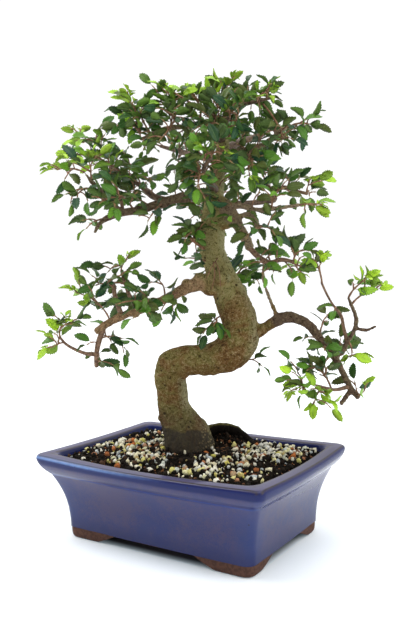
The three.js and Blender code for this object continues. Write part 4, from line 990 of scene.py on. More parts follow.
# The first share of a shoot that bears no leaves
BARE_LEAD, BARE_SHOOT = 0.3, 0.22
END_LEAF_REACH = 12
SHORTEST_SHOOT = 0.5
LEAF_ARCH = 0.1
LEAF_FOLD = 0.35
UPWARD_LEAVES = 0.7
LEAF_CLEARANCE = 0.5
LEAF_ROOM = 1.8
SHOOT_RADIUS = 0.95
SHOOT_TIP_RADIUS = 0.5
SHOOT_CLEARANCE = 1.2
SHOOT_SIDES = 6
SPRAY_LIMB_SIDES = 10
CUT_TWIG_SIDES = 8
# How young wood looks, from 0 to 1, and the radius from which a limb counts as old
OLD_TONE, LIMB_TONE, CUT_TONE, STALK_TONE = 0.1, 0.3, 0.75, 1.0
OLD_RADIUS = 2.6
SHOOT_STEP = 3.2
ZIGZAG = 0.45
THICK_WOOD = 5
TRIES = 8
# How much further each try turns and bows a shoot, or turns a leaf round its shoot
SHOOT_TRY_TURN, SHOOT_TRY_BOW, LEAF_TRY_TURN = 0.8, 0.035, 0.75
END_LEAF_SIZE = 0.85
SAME_PLACE = 0.15
FIRST_SIDE_SHOOT, SIDE_SHOOT_STEP = 0.2, 0.22
# The whole numbers that spurs and tufts draw with start here, clear of the shoots' own
SPUR_NUMBERS, LIMB_SPUR_NUMBERS, TRUNK_SPUR_NUMBERS, TUFT_NUMBERS = 200, 2000, 3800, 4000
# Short side twigs that fill the crown between the main shoots, thickest in the middle of the crown
SPUR_EVERY = {
    "crown": 6.5, "front": 4, "back": 8, "left_top": 12, "left": 15, "right": 15, "mid": 14, "low": 26,
    "low_right_cluster": 9, "low_left_tip": 12, "trunk_left_upper": 8,
}
SPUR_LENGTH = 9
SPUR_LENGTH_RANGE = 7
SPUR_LEAF_SPACING = 5
SPUR_CLEARANCE = 1.5
SPUR_RADIUS = 0.65
LIMB_SPUR_EVERY = 8
# How far along a limb its spurs start
SPUR_START = {"front_high": 0.25, "front_crown": 0.2}
OTHER_SPUR_START = 0.35
# Stretches of wood that also bear spurs: limb, from and to these shares of it, and their spray
SPUR_STRETCHES = [
    ("crown_left", 0.15, 1, "crown_left_top"), ("crown_mid_right", 0.2, 1, "crown_right_front"),
    ("trunk", 0.73, 0.84, "trunk_left_upper"), ("trunk", 0.84, 1, "crown_apex"),
    ("right_mid", 0.15, 0.6, "right_front"), ("left_low_drop", 0.2, 0.9, "low_left_tip"),
]
# Spurs on the front of the trunk, high up: where they leave its middle, its radius there, and their turn
TRUNK_SPURS = [
    (24, 9, 299, 9.5, -1.3), (24, 10, 288, 10.5, -0.9), (22, 11, 274, 11.5, -1.1), (27, 5, 324, 7, -1.5),
    (21, 12, 264, 11.5, -0.8), (26, 6, 318, 8, -1.0), (33, 1, 294, 6.3, -1.5), (42, -8, 282, 5.5, -1.3),
    (31, -3, 299, 5, -1.2), (36, -9, 297, 4.5, -1.9), (27, 5, 331, 7, -1.8), (39, -12, 295, 4, -1.5),
    (24, 9, 294, 10, -1.5), (25, 7, 308, 8.5, -1.45), (46, -12, 272, 4.8, -1.6), (22, 11, 280, 11.5, -1.5),
]
OUT_AND_UP = Vector((0, -0.5, 0.85))
# Tufts of tiny new leaves at the ends of the lime green shoots
TUFT_FROM = 0.96
TUFT_LENGTH = 8
TUFT_SPACING = 1.3
TUFT_LEAF_SIZE = 0.48
TUFT_ROOM = 0.5
# Bare twigs left by pruning, in the sprays they belong to
CUT_TWIGS = [
    ("crown_left_front", [(16, -22, 374, 1.1), (1, -28, 382, 0.9), (-13, -33, 390, 0.75)]),
    ("front_crown", [(15, -24, 360, 1.2), (24, -30, 367, 1.1), (28, -33, 376, 1.0), (28, -33, 385, 1.0)]),
    ("front_crown", [(29, -26, 375, 0.9), (34, -30, 380, 0.9), (45, -32, 390, 0.7)]),
    ("crown_right", [(67, -18, 380, 0.7), (73, -22, 371, 0.8), (79, -23, 361, 0.9)]),
    ("crown_left_front", [(-23, -26, 365, 0.9), (-29, -30, 374, 0.7)]),
    ("trunk_left_lower", [(16, 6, 256, 1.5), (4, -6, 265, 1.2), (-2, -10, 270, 1.1)]),
    ("trunk_left_lower", [(22, 0, 246, 0.5), (23, -9, 234, 0.45), (20, -11, 221, 0.3)]),
    ("trunk_left_lower", [(24, 0, 246, 0.5), (27, -10, 237, 0.45), (28, -12, 224, 0.3)]),
    ("trunk_left_lower", [(26, 0, 249, 0.5), (20, -12, 240, 0.4), (15, -14, 230, 0.3)]),
]
UP = Vector((0, 0, 1))


def draw(a, b, c):
    """A repeatable number from 0 to 1 for a set of whole numbers."""
    value = math.sin(a * 12.9898 + b * 78.233 + c * 37.719) * 43758.5453
    return value - math.floor(value)


def distance_between(a, b, c, d):
    """The nearest distance between two stretches a to b and c to d."""
    u, v, w = b - a, d - c, a - c
    uu, uv, vv, uw, vw = u.dot(u), u.dot(v), v.dot(v), u.dot(w), v.dot(w)
    area = uu * vv - uv * uv
    s = min(1, max(0, (uv * vw - vv * uw) / area)) if area > 1e-9 else 0
    t = min(1, max(0, (uv * s + vw) / vv))
    s = min(1, max(0, (uv * t - uw) / uu))
    return (w + u * s - v * t).length


def side_of(along, shortest=0.02, otherwise=(1, 0, 0)):
    """The level direction across another one, or the given one where that points straight up or down."""
    side = along.cross(UP)
    return (Vector(otherwise) if side.length_squared < shortest else side).normalized()


def root_on(points, share, tip):
    """Where a shoot starts: a share of the way along a limb, and out towards its tip in thick wood."""
    at = share * (len(points) - 1)
    i = min(len(points) - 2, math.floor(at))
    middle = Vector(points[i][:3]).lerp(Vector(points[i + 1][:3]), at - i)
    radius = points[i][3] + (points[i + 1][3] - points[i][3]) * (at - i)
    return middle + (tip - middle).normalized() * (0.75 * radius if radius > THICK_WOOD else 0)


class Shoot:
    """A bowed line from its root to its tip. Try n turns the bow round and widens it."""

    spacing = LEAF_SPACING
    leaf_size = 1
    leaf_room = LEAF_ROOM
    is_lead = False
    is_spur = False
    is_tuft = False

    def __init__(self, family, root, tip, number, n=0):
        self.family = family
        self.fresh = number in LIME_SHOOTS
        self.leaves = []
        along = tip - root
        self.length = along.length
        along.normalize()
        side = side_of(along, 0.01)
        lift = side.cross(along)
        turn = math.pi * (0.15 + 0.7 * draw(number, 1, 0)) + n * SHOOT_TRY_TURN
        bow = self.length * (0.1 + 0.06 * draw(number, 2, 0) + SHOOT_TRY_BOW * n)
        bend = root.lerp(tip, 0.5) + side * (2 * bow * math.cos(turn)) + lift * (2 * bow * math.sin(turn))
        self.number = number
        self.line = (root, bend, tip)
        steps = 3 if self.length > 30 else 2
        self.points = [self.point(i / steps) for i in range(steps + 1)]

    def point(self, t):
        root, bend, tip = self.line
        return root * (1 - t) ** 2 + bend * (2 * t * (1 - t)) + tip * t ** 2

    def ahead(self, t):
        root, bend, tip = self.line
        return ((bend - root) * (1 - t) + (tip - bend) * t).normalized()


def stretches(path):
    return list(zip(path[:-1], path[1:]))


wood_stretches = []
for name, points in {**WOOD, **LIMBS}.items():
    for here, after in stretches(points):
        wood_stretches.append((name, Vector(here[:3]), Vector(after[:3]), max(here[3], after[3])))
shoots = []


def path_is_clear(path, parent):
    """True if a shoot keeps clear of all wood and of the other sprays' shoots, its own root apart."""
    for i, (a, b) in enumerate(stretches(path.points)):
        for name, c, d, radius in wood_stretches:
            if i == 0 and (name == parent or (c - a).length < radius * 2.5 + 4):
                continue
            if distance_between(a, b, c, d) < radius + SHOOT_RADIUS + SHOOT_CLEARANCE:
                return False
        for other in shoots:
            if other.family == path.family:
                continue
            for c, d in stretches(other.points):
                if distance_between(a, b, c, d) < 2 * SHOOT_RADIUS + SHOOT_CLEARANCE:
                    return False
    return True


def grow_shoot(family, parent, root, reach, is_lead):
    """The first of a shoot's turned places that is clear, or None. Its end leaf reaches the given place."""
    number = len(shoots) + 1
    end = root.lerp(reach, max(SHORTEST_SHOOT, 1 - END_LEAF_REACH / (reach - root).length))
    for n in range(TRIES):
        path = Shoot(family, root, end, number, n)
        if path_is_clear(path, parent):
            path.is_lead = is_lead
            shoots.append(path)
            return path
    return None


def grow_side_shoot(lead, parent, k, tip):
    """Side shoot k of a lead, which leaves it further out than the one before."""
    root = lead.point(FIRST_SIDE_SHOOT + SIDE_SHOOT_STEP * k)
    grow_shoot(lead.family, parent, root, Vector(tip), False)


leads = {}
for family, parent, share, first_tip, *side_tips in SHOOT_ROWS:
    reach = Vector(first_tip)
    lead = grow_shoot(family, parent, root_on(WOOD.get(parent) or LIMBS[parent], share, reach), reach, True)
    for k, tip in enumerate(side_tips, 1):
        grow_side_shoot(lead, parent, k, tip)
    leads.setdefault(family, []).append((lead, parent, 1 + len(side_tips)))
for family, row, tip in FINE_TIPS:
    grow_side_shoot(*leads[family][row], tip)


def grow_spur(family, number, root, ahead, turn, fresh, radius=0.0):
    """A short side twig with leaves of its own, left out where wood is in its way."""
    side = side_of(ahead)
    away = side * math.cos(turn) + side.cross(ahead) * math.sin(turn)
    reach = SPUR_LENGTH + SPUR_LENGTH_RANGE * draw(number, 1, 1)
    way = (ahead * 0.5 + away * 0.85 + UP * 0.25).normalized()
    root = root + away * (0.8 * radius)
    spur = Shoot(family, root, root + way * reach, number)
    for _, c, d, wood_radius in wood_stretches:
        if distance_between(spur.points[1], spur.points[2], c, d) < wood_radius + SPUR_CLEARANCE:
            return
    spur.spacing = SPUR_LEAF_SPACING
    spur.leaf_size = 0.8 + 0.25 * draw(number, 2, 2)
    spur.is_spur = True
    spur.fresh = fresh
    shoots.append(spur)


main_shoots = list(shoots)
for shoot in main_shoots:
    every = SPUR_EVERY.get(shoot.family) or SPUR_EVERY.get(shoot.family.split("_")[0], 20)
    for k in range(round(shoot.length / every)):
        share = min(0.9, (k + 0.55) * every / shoot.length)
        number = SPUR_NUMBERS + shoot.number * 8 + k
        turn = 2.4 * k + shoot.number * 1.7
        grow_spur(shoot.family, number, shoot.point(share), shoot.ahead(share), turn, shoot.fresh)
spur_stretches = [
    (name, SPUR_START.get(name, OTHER_SPUR_START), 1, family)
    for family, names in SPRAY_LIMBS.items() if not family.startswith("low") for name in names
]
number = LIMB_SPUR_NUMBERS
for name, start, end, family in spur_stretches + SPUR_STRETCHES:
    line = smooth_line(WOOD.get(name) or LIMBS[name], 1.0)
    for k, i in enumerate(range(int(len(line) * start), int(len(line) * end) - 1, LIMB_SPUR_EVERY)):
        number += 1
        middle = Vector(line[i][:3])
        ahead = (Vector(line[i + 1][:3]) - middle).normalized()
        grow_spur(family, number, middle, ahead, 2.4 * k + number, False, line[i][3])
for k, (u, d, z, radius, turn) in enumerate(TRUNK_SPURS):
    grow_spur("trunk_left_upper", TRUNK_SPUR_NUMBERS + k, Vector((u, d, z)), OUT_AND_UP, turn, False, radius)
for shoot in main_shoots:
    if shoot.number in LIME_SHOOTS | TUFTED_SHOOTS:
        end = shoot.point(TUFT_FROM)
        tip = end + (shoot.ahead(1) + UP * 0.4).normalized() * TUFT_LENGTH
        tuft = Shoot(shoot.family, end, tip, TUFT_NUMBERS + shoot.number)
        tuft.spacing = TUFT_SPACING
        tuft.leaf_size = TUFT_LEAF_SIZE
        tuft.leaf_room = TUFT_ROOM
        tuft.is_spur = True
        tuft.is_tuft = True
        shoots.append(tuft)


class Leaf:
    """Leaf number i of a shoot: 0 is the end leaf and the rest alternate down both sides."""

    def __init__(self, shoot, i, n):
        number = shoot.number
        self.number = i
        share = 1 if i == 0 else 1 - i * shoot.spacing / shoot.length
        self.base = shoot.point(share)
        along = shoot.ahead(share)
        side = side_of(along, otherwise=(math.cos(number), math.sin(number), 0))
        lift = side.cross(along)
        spread = 0.3 * (draw(number, i, 3) - 0.5) if i == 0 else 0.85 + 0.45 * draw(number, i, 3)
        about = (0 if i % 2 else math.pi) + 0.9 * (draw(number, i, 4) - 0.35) + n * LEAF_TRY_TURN
        away = side * math.cos(about) + lift * math.sin(about)
        self.direction = (along * math.cos(spread) + away * math.sin(spread)).normalized()
        turn = 2 * math.pi * draw(number, i, 5)
        rise = 2 * draw(number, i, 6) - 1
        level = math.sqrt(1 - rise * rise)
        normal = Vector((level * math.cos(turn), level * math.sin(turn), rise + UPWARD_LEAVES))
        normal -= self.direction * normal.dot(self.direction)
        self.normal = (side if normal.length_squared < 0.05 else normal).normalized()
        full_length = LEAF_LENGTH + LEAF_LENGTH_RANGE * draw(number, i, 7)
        self.length = (END_LEAF_SIZE if i == 0 else 1) * full_length * shoot.leaf_size
        self.tip = self.base + self.direction * self.length
        self.start = self.base + self.direction * (0.2 * self.length)
        self.middle = self.base + self.direction * (0.5 * self.length)

    def clear_of_wood(self):
        for _, c, d, radius in wood_stretches:
            far = radius + LEAF_CLEARANCE
            if distance_between(self.start, self.middle, c, d) < far + 0.24 * self.length:
                return False
            if distance_between(self.middle, self.tip, c, d) < far + 0.12 * self.length:
                return False
        return True

    def room(self, own):
        """How far its middle line is from the nearest other leaf and shoot."""
        nearest = 99.0
        for other in leaves:
            if (other.middle - self.middle).length < self.length:
                nearest = min(nearest, distance_between(self.start, self.tip, other.start, other.tip))
        for shoot in shoots:
            if shoot is not own and (shoot.points[1] - self.middle).length < self.length + shoot.length / 2:
                for c, d in stretches(shoot.points):
                    nearest = min(nearest, distance_between(self.start, self.tip, c, d) + 1)
        return nearest


def corners_of(family):
    """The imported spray's corners, in the tree's own frame, for finding its leaves' places."""
    mesh = frame["nodes"]["spray_" + family].data
    tree = kdtree.KDTree(len(mesh.vertices))
    for i, point in enumerate(tree_places(points_of(mesh))):
        tree.insert(point, i)
    tree.balance()
    return tree


def inside_part(point):
    """True if a point of the tree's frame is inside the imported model's box."""
    x, y, z = tree_frame(np.array([point]))[0]
    low, high = cad_box
    return low[0] < x < high[0] and low[1] < y < high[1] and z < high[2]


packed_corners = {family: corners_of(family) for family in leads}
leaves = []
wanted = []
for shoot in shoots:
    bare = BARE_LEAD if shoot.is_lead else BARE_SHOOT
    for i in range(1 + int((1 - bare) * shoot.length / shoot.spacing)):
        places = [Leaf(shoot, i, n) for n in range(TRIES)]
        gaps = [packed_corners[shoot.family].find(leaf.tip)[2] for leaf in places]
        if min(gaps) < SAME_PLACE and not shoot.is_spur:
            leaf = places[gaps.index(min(gaps))]
            shoot.leaves.append(leaf)
            leaves.append(leaf)
        else:
            wanted.append((shoot, places))
for shoot, places in wanted:
    for leaf in places:
        if inside_part(leaf.tip) and leaf.room(shoot) > shoot.leaf_room and leaf.clear_of_wood():
            shoot.leaves.append(leaf)
            leaves.append(leaf)
            break

LEAF_TEETH = 8
PETIOLE_SHARE = 0.13
PETIOLE_RADIUS = 0.3
PETIOLE_SIDES = 3
LEAF_HALF_THICKNESS = 0.12


def half_width(t):
    """Half a leaf's width, as a share of its full width, at a share t of its blade."""
    return 0.5 * math.sin(math.pi * t ** 0.9) ** 0.66 * (1 - 0.08 * t) if 0 < t < 1 else 0


def leaf_pattern():
    """One toothed blade: rows of (along, across, up), faces, and a UV for each corner."""
    rows, faces, uvs = [], [], []

    def point(t, across, up=0.0):
        rows.append((PETIOLE_SHARE + (1 - PETIOLE_SHARE) * t, across, up))
        return len(rows) - 1, (0.5 + across, t)

    base = point(0, 0)
    tip = point(1, 0)
    stations = range(1, LEAF_TEETH)
    rib = [base, *(point(j / LEAF_TEETH, 0, LEAF_HALF_THICKNESS) for j in stations), tip]
    under_rib = [base, *(point(j / LEAF_TEETH, 0, -2 * LEAF_HALF_THICKNESS) for j in stations), tip]
    for side in (-1, 1):
        widths = [side * half_width(j / LEAF_TEETH) for j in stations]
        row = [base, *(point(j / LEAF_TEETH, 0.52 * w, 0.1) for j, w in zip(stations, widths)), tip]
        notch = [base, *(point(j / LEAF_TEETH, 0.86 * w) for j, w in zip(stations, widths)), tip]
        teeth = []
        for j in range(LEAF_TEETH):
            t = (j + 0.72) / LEAF_TEETH
            is_last = j == LEAF_TEETH - 1
            reach = 0.3 * half_width(0.9) if is_last else 0.02 + 1.04 * half_width(t - 0.3 / LEAF_TEETH)
            teeth.append(point(t, side * reach))
        for j in range(LEAF_TEETH):
            inner = [rib[j], rib[j + 1], row[j + 1], row[j]]
            outer = [row[j], row[j + 1], notch[j + 1], teeth[j], notch[j]]
            below = [under_rib[j], under_rib[j + 1], notch[j + 1], teeth[j], notch[j]]
            for outline, is_turned in ((inner, side > 0), (outer, side > 0), (below, side < 0)):
                kept = [c for k, c in enumerate(outline) if c[0] != outline[k - 1][0]]
                order = kept[::-1] if is_turned else kept
                faces.append(tuple(index for index, _ in order))
                lift = 2 if outline is below else 0
                uvs.extend((u, v + lift) for _, (u, v) in order)
    return np.array(rows), faces, uvs


LEAF_DARK = (0.007, 0.028, 0.01)
LEAF_GREEN = (0.03, 0.1, 0.012)
LEAF_FRESH = (0.12, 0.3, 0.02)
LEAF_LIME = (0.46, 0.72, 0.035)
LEAF_OLIVE = (0.1, 0.105, 0.02)
LEAF_BLUISH = (0.01, 0.052, 0.034)
LEAF_UNDER = (0.11, 0.15, 0.035)


def leaf_finish():
    leaf = Finish("elm_leaf", Specular_IOR_Level=0.2)
    place = leaf.place("UV")
    across = leaf.axis(place, "X")
    along = leaf.axis(place, "Y")
    under = along > 1.5
    along = along - under * 2
    tone = leaf.own("tone")
    stops = [(0.0, LEAF_DARK), (1.0, LEAF_LIME), (0.35, LEAF_GREEN), (0.65, LEAF_FRESH)]
    blade = leaf.node("ShaderNodeValToRGB", {"stops": stops}, {0: tone})
    hue = leaf.own("hue")
    blade = leaf.mix(hue.rise(0.62, 0.9) * tone.rise(0.6, 0.3) * 0.7, blade, LEAF_OLIVE)
    blade = leaf.mix(hue.rise(0.55, 0.15) * tone.rise(0.5, 0.2) * 0.75, blade, LEAF_BLUISH)
    out = (across - 0.5).math("ABSOLUTE")
    vein = ((along - out * 0.7) * 11).math("FRACT").math("PINGPONG", 0.5)
    vein = 1 - vein.rise(0.0, 0.14)
    rib = 1 - out.rise(0.008, 0.03)
    mottle = leaf.noise(leaf.place(), 260.0, 3.0)
    colour = leaf.mix(mottle.rise(0.35, 0.7) * 0.2, blade, (0.09, 0.17, 0.035))
    colour = leaf.mix(vein * 0.16 + rib * 0.3, colour, (0.22, 0.34, 0.1))
    colour = leaf.mix(under * 0.45, colour, LEAF_UNDER)
    roughness = 0.32 + under * 0.35 + mottle * 0.1
    return leaf.wear(colour, roughness, 1 - vein * 0.6 - rib, 0.4, 0.0005)


def twig_finish():
    twig = Finish("young_wood", Roughness=0.62, Specular_IOR_Level=0.4)
    place = twig.place()
    young = twig.own("tone")
    grain = twig.noise(place, 500.0, 4.0, 0.65)
    old = twig.mix(grain.rise(0.35, 0.65), (0.035, 0.022, 0.014), (0.16, 0.105, 0.065))
    new = twig.mix(grain.rise(0.35, 0.65), (0.17, 0.07, 0.03), (0.36, 0.18, 0.09))
    colour = twig.mix(young, old, new)
    colour = twig.mix(young.rise(0.85, 1.0) * 0.6, colour, (0.25, 0.26, 0.08))
    return twig.wear(colour, None, grain, 0.6, 0.0006)


LEAF_ROWS, LEAF_FACES, LEAF_UVS = leaf_pattern()
LEAF_FINISH = leaf_finish()
TWIG_FINISH = twig_finish()


class LeafySkin(Skin):
    """A skin with a tone and a hue for each point, and a place on the blade for each corner of a face."""

    def __init__(self):
        super().__init__()
        self.tones = []
        self.hues = []
        self.uvs = []
        self.marked_faces = 0

    def mark(self, tones, hue=0.5, uvs=None):
        """Marks all that was added since the last mark: one tone or a list of them, one hue, and its UVs."""
        new_points = len(self.points) - len(self.hues)
        self.tones.extend(tones if isinstance(tones, list) else [tones] * new_points)
        self.hues.extend([hue] * new_points)
        new_corners = sum(len(face) for face in self.faces[self.marked_faces:])
        self.uvs.extend(uvs or [(0, 0)] * new_corners)
        self.marked_faces = len(self.faces)


def leaf_tone(shoot, leaf):
    """How young a leaf looks, from 0 for the oldest green to 1 for lime."""
    fresh = draw(shoot.number, leaf.number, 8)
    newest = 1 - min(1, leaf.number / 4)
    if shoot.is_tuft:
        return 0.8 + 0.2 * fresh
    if shoot.fresh:
        return min(1, 0.38 + 0.22 * fresh + 0.45 * newest)
    if draw(shoot.number, 1, 10) > 0.7:
        return 0.35 * fresh + 0.4 * newest
    return 0.42 * fresh ** 1.4 + 0.08 * newest


def add_leaf(skin, leaf, shoot):
    """One blade folded up from its midrib and bent down to its tip, on its stalk."""
    base, direction, normal = (np.array(v) for v in (leaf.base, leaf.direction, leaf.normal))
    side = np.cross(normal, direction)
    width = leaf.length * LEAF_ASPECT
    along, across, up = LEAF_ROWS.T
    wave = 0.25 * np.sin(along * 17 + leaf.number + shoot.number) * np.abs(across) * 2
    height = LEAF_ARCH * leaf.length * np.sin(np.pi * np.minimum(1, 1.15 * along))
    height = height + LEAF_FOLD * np.abs(across) * width + up + wave
    points = base + np.outer(along * leaf.length, direction) + np.outer(across * width, side)
    skin.add(points + np.outer(height, normal), LEAF_FACES)
    hue = draw(shoot.number, leaf.number, 9)
    skin.mark(leaf_tone(shoot, leaf), hue, LEAF_UVS)
    blade = base + direction * (PETIOLE_SHARE * leaf.length) + normal * float(height[0])
    ring = [PETIOLE_RADIUS * (side * math.cos(a) + normal * math.sin(a)) for a in full_turn(PETIOLE_SIDES)]
    skin.loft([[base + p for p in ring], [blade + p * 0.8 for p in ring]], 1)
    skin.mark(STALK_TONE, hue)


def add_twig(skin, shoot):
    """A tapering shoot that steps a little from side to side at each leaf."""
    steps = max(4, round(shoot.length / SHOOT_STEP))
    root_radius = SPUR_RADIUS if shoot.is_spur else SHOOT_RADIUS
    middles = []
    radii = []
    for k in range(steps + 1):
        share = k / steps
        here = np.array(shoot.point(share))
        side = np.array(shoot.ahead(share).cross(UP))
        zigzag = ZIGZAG * math.sin(math.pi * (1 - share) * shoot.length / LEAF_SPACING)
        middles.append(here + side * (zigzag * min(1, 4 * share * (1 - share) + 0.1)))
        node = 0.14 * math.cos(2 * math.pi * (1 - share) * shoot.length / LEAF_SPACING)
        radii.append(root_radius + (SHOOT_TIP_RADIUS - root_radius) * share + node)
    skin.loft(tube_rings(np.array(middles), radii, SHOOT_SIDES), 1)
    skin.mark([0.45 + 0.5 * k / steps for k in range(steps + 1) for _ in range(SHOOT_SIDES)])


for family in leads:
    skin = LeafySkin()
    for name in SPRAY_LIMBS.get(family, []):
        add_limb(skin, LIMBS[name], SPRAY_LIMB_SIDES, material=1)
        skin.mark(OLD_TONE if max(p[3] for p in LIMBS[name]) > OLD_RADIUS else LIMB_TONE)
    for home, points in CUT_TWIGS:
        if home == family:
            add_limb(skin, points, CUT_TWIG_SIDES, material=1)
            skin.mark(CUT_TONE)
    for shoot in shoots:
        if shoot.family == family:
            add_twig(skin, shoot)
            for leaf in shoot.leaves:
                add_leaf(skin, leaf, shoot)
    piece = skin.piece("leafy_" + family, [LEAF_FINISH, TWIG_FINISH], tree_frame)
    give_own(piece, tone=skin.tones, hue=skin.hues)
    piece.data.uv_layers.new(name="blade").data.foreach_set("uv", np.array(skin.uvs, dtype=float).ravel())
    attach(piece, "root")
    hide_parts("spray_" + family)

# Loose grains
# White pumice, pale pellets, fired clay and bark chips lie in drifts on the dark soil.
# Seeded places on its surface each take one of a few rough grains, turned and sized at random.

# Drifts of grains: middle, reach and thickness
DRIFTS = [
    (-82, -12, 16, 0.7), (-55, -2, 20, 1), (-38, 14, 13, 1), (-20, -40, 20, 1), (-45, -28, 16, 0.8),
    (40, -38, 16, 0.9), (27, -14, 10, 0.8), (52, 2, 14, 0.9), (58, 38, 22, 1), (82, 28, 18, 1),
    (84, 60, 14, 0.9), (70, -24, 12, 0.6), (-70, 50, 14, 0.7), (-30, 55, 16, 0.8), (20, 58, 10, 0.5),
    (88, -45, 12, 0.6), (-78, -38, 13, 0.5), (-40, -50, 9, 0.5), (34, -58, 9, 0.5), (70, -52, 11, 0.5),
]
# Round places without grains, in the tree's own frame: under the trunk and the arched root
BARE_SOIL = [(-2, 14, 23.5), (8, 24, 7), (20, 28, 4), (33, 30, 3)]
# How thickly grains lie outside the drifts: everywhere, and more in patches
EVERYWHERE, IN_PATCHES = 0.07, 0.25
GRAIN_RADIUS = 1.6
GRAIN_SHAPES = [(1, 0.85, 0.8), (1.15, 0.8, 0.7), (0.9, 0.95, 0.85), (1.3, 0.7, 0.45)]
SHAPE_SEED = 31
KIND_SEED = 3


def rough_grain(name, seed, stretch):
    """A rough pebble about 3 mm across: an icosahedron with uneven corners."""
    ico = [(0, s1, s2 * 1.618) for s1 in (-1, 1) for s2 in (-1, 1)]
    ico = [p for x, y, z in ico for p in ((x, y, z), (y, z, x), (z, x, y))]
    corners = [Vector(p).normalized() for p in ico]
    near = min((a - b).length for a in corners for b in corners if a is not b) * 1.05
    faces = []
    for i, a in enumerate(corners):
        for j in range(i + 1, 12):
            for k in range(j + 1, 12):
                b, c = corners[j], corners[k]
                if max((a - b).length, (b - c).length, (a - c).length) < near:
                    faces.append((i, j, k) if (b - a).cross(c - a).dot(a) > 0 else (i, k, j))
    points = []
    for i, corner in enumerate(corners):
        radius = GRAIN_RADIUS * (0.75 + 0.5 * draw(seed, i, 2)) * MM
        points.append([corner[axis] * radius * stretch[axis] for axis in range(3)])
    mesh = bpy.data.meshes.new(name)
    mesh.from_pydata(points, [], faces)
    mesh.polygons.foreach_set("use_smooth", [True] * len(faces))
    return bpy.data.objects.new(name, mesh)


def grain_finish():
    grain = Finish("loose_grains", Roughness=0.85, Specular_IOR_Level=0.1)
    place = grain.place()
    kind = grain.own("kind")
    stops = [
        (0.0, (0.004, 0.0035, 0.003)), (1.0, (0.09, 0.05, 0.03)), (0.36, (0.008, 0.006, 0.005)),
        (0.44, (0.03, 0.018, 0.012)), (0.465, (0.11, 0.055, 0.03)), (0.485, (0.34, 0.13, 0.05)),
        (0.5, (0.8, 0.74, 0.5)), (0.66, (0.9, 0.86, 0.72)), (0.76, (0.48, 0.53, 0.54)),
        (0.83, (0.8, 0.74, 0.36)), (0.89, (0.6, 0.55, 0.12)), (0.94, (0.4, 0.26, 0.17)),
        (0.97, (0.55, 0.17, 0.045)),
    ]
    body = grain.node("ShaderNodeValToRGB", {"stops": stops}, {0: kind})
    pores = grain.noise(place, 1500.0, 3.0, 0.7)
    colour = grain.mix(pores.rise(0.52, 0.36) * 0.6, body, (0.05, 0.038, 0.025))
    return grain.wear(colour, None, pores, 0.8, 0.0005)


GRAINS = grain_finish()
samples = bpy.data.collections.new("grain_samples")
for number, stretch in enumerate(GRAIN_SHAPES):
    samples.objects.link(rough_grain(f"grain_{number}", SHAPE_SEED + number, stretch))

top = Skin()
cols = len(edge)
top_rings = bed_rings[-(BED_RINGS - 1):]
top_points = [p for ring in top_rings for p in ring]


def is_bare(x, y):
    """True where the trunk or the arched root keeps grains off the soil."""
    u, d = tree_axes(x, y)
    return any(math.hypot(u - a, d - b) < radius for a, b, radius in BARE_SOIL)


def drift_share(x, y):
    """How thickly grains lie at a place: 1 in the middle of a drift, and a few everywhere."""
    patchy = EVERYWHERE + IN_PATCHES * max(0, noise.noise(Vector((x * 0.05, y * 0.05, 9.3))))
    drifts = [share * math.exp(-((x - a) ** 2 + (y - b) ** 2) / reach ** 2) for a, b, reach, share in DRIFTS]
    return min(1, patchy + sum(drifts))


top_faces = []
for r in range(len(top_rings) - 1):
    for i in range(cols):
        j = (i + 1) % cols
        face = (r * cols + i, r * cols + j, (r + 1) * cols + j, (r + 1) * cols + i)
        middle = np.mean([top_points[k] for k in face], axis=0)
        if not is_bare(middle[0], middle[1]):
            top_faces.append(face)
top.add(top_points, top_faces)


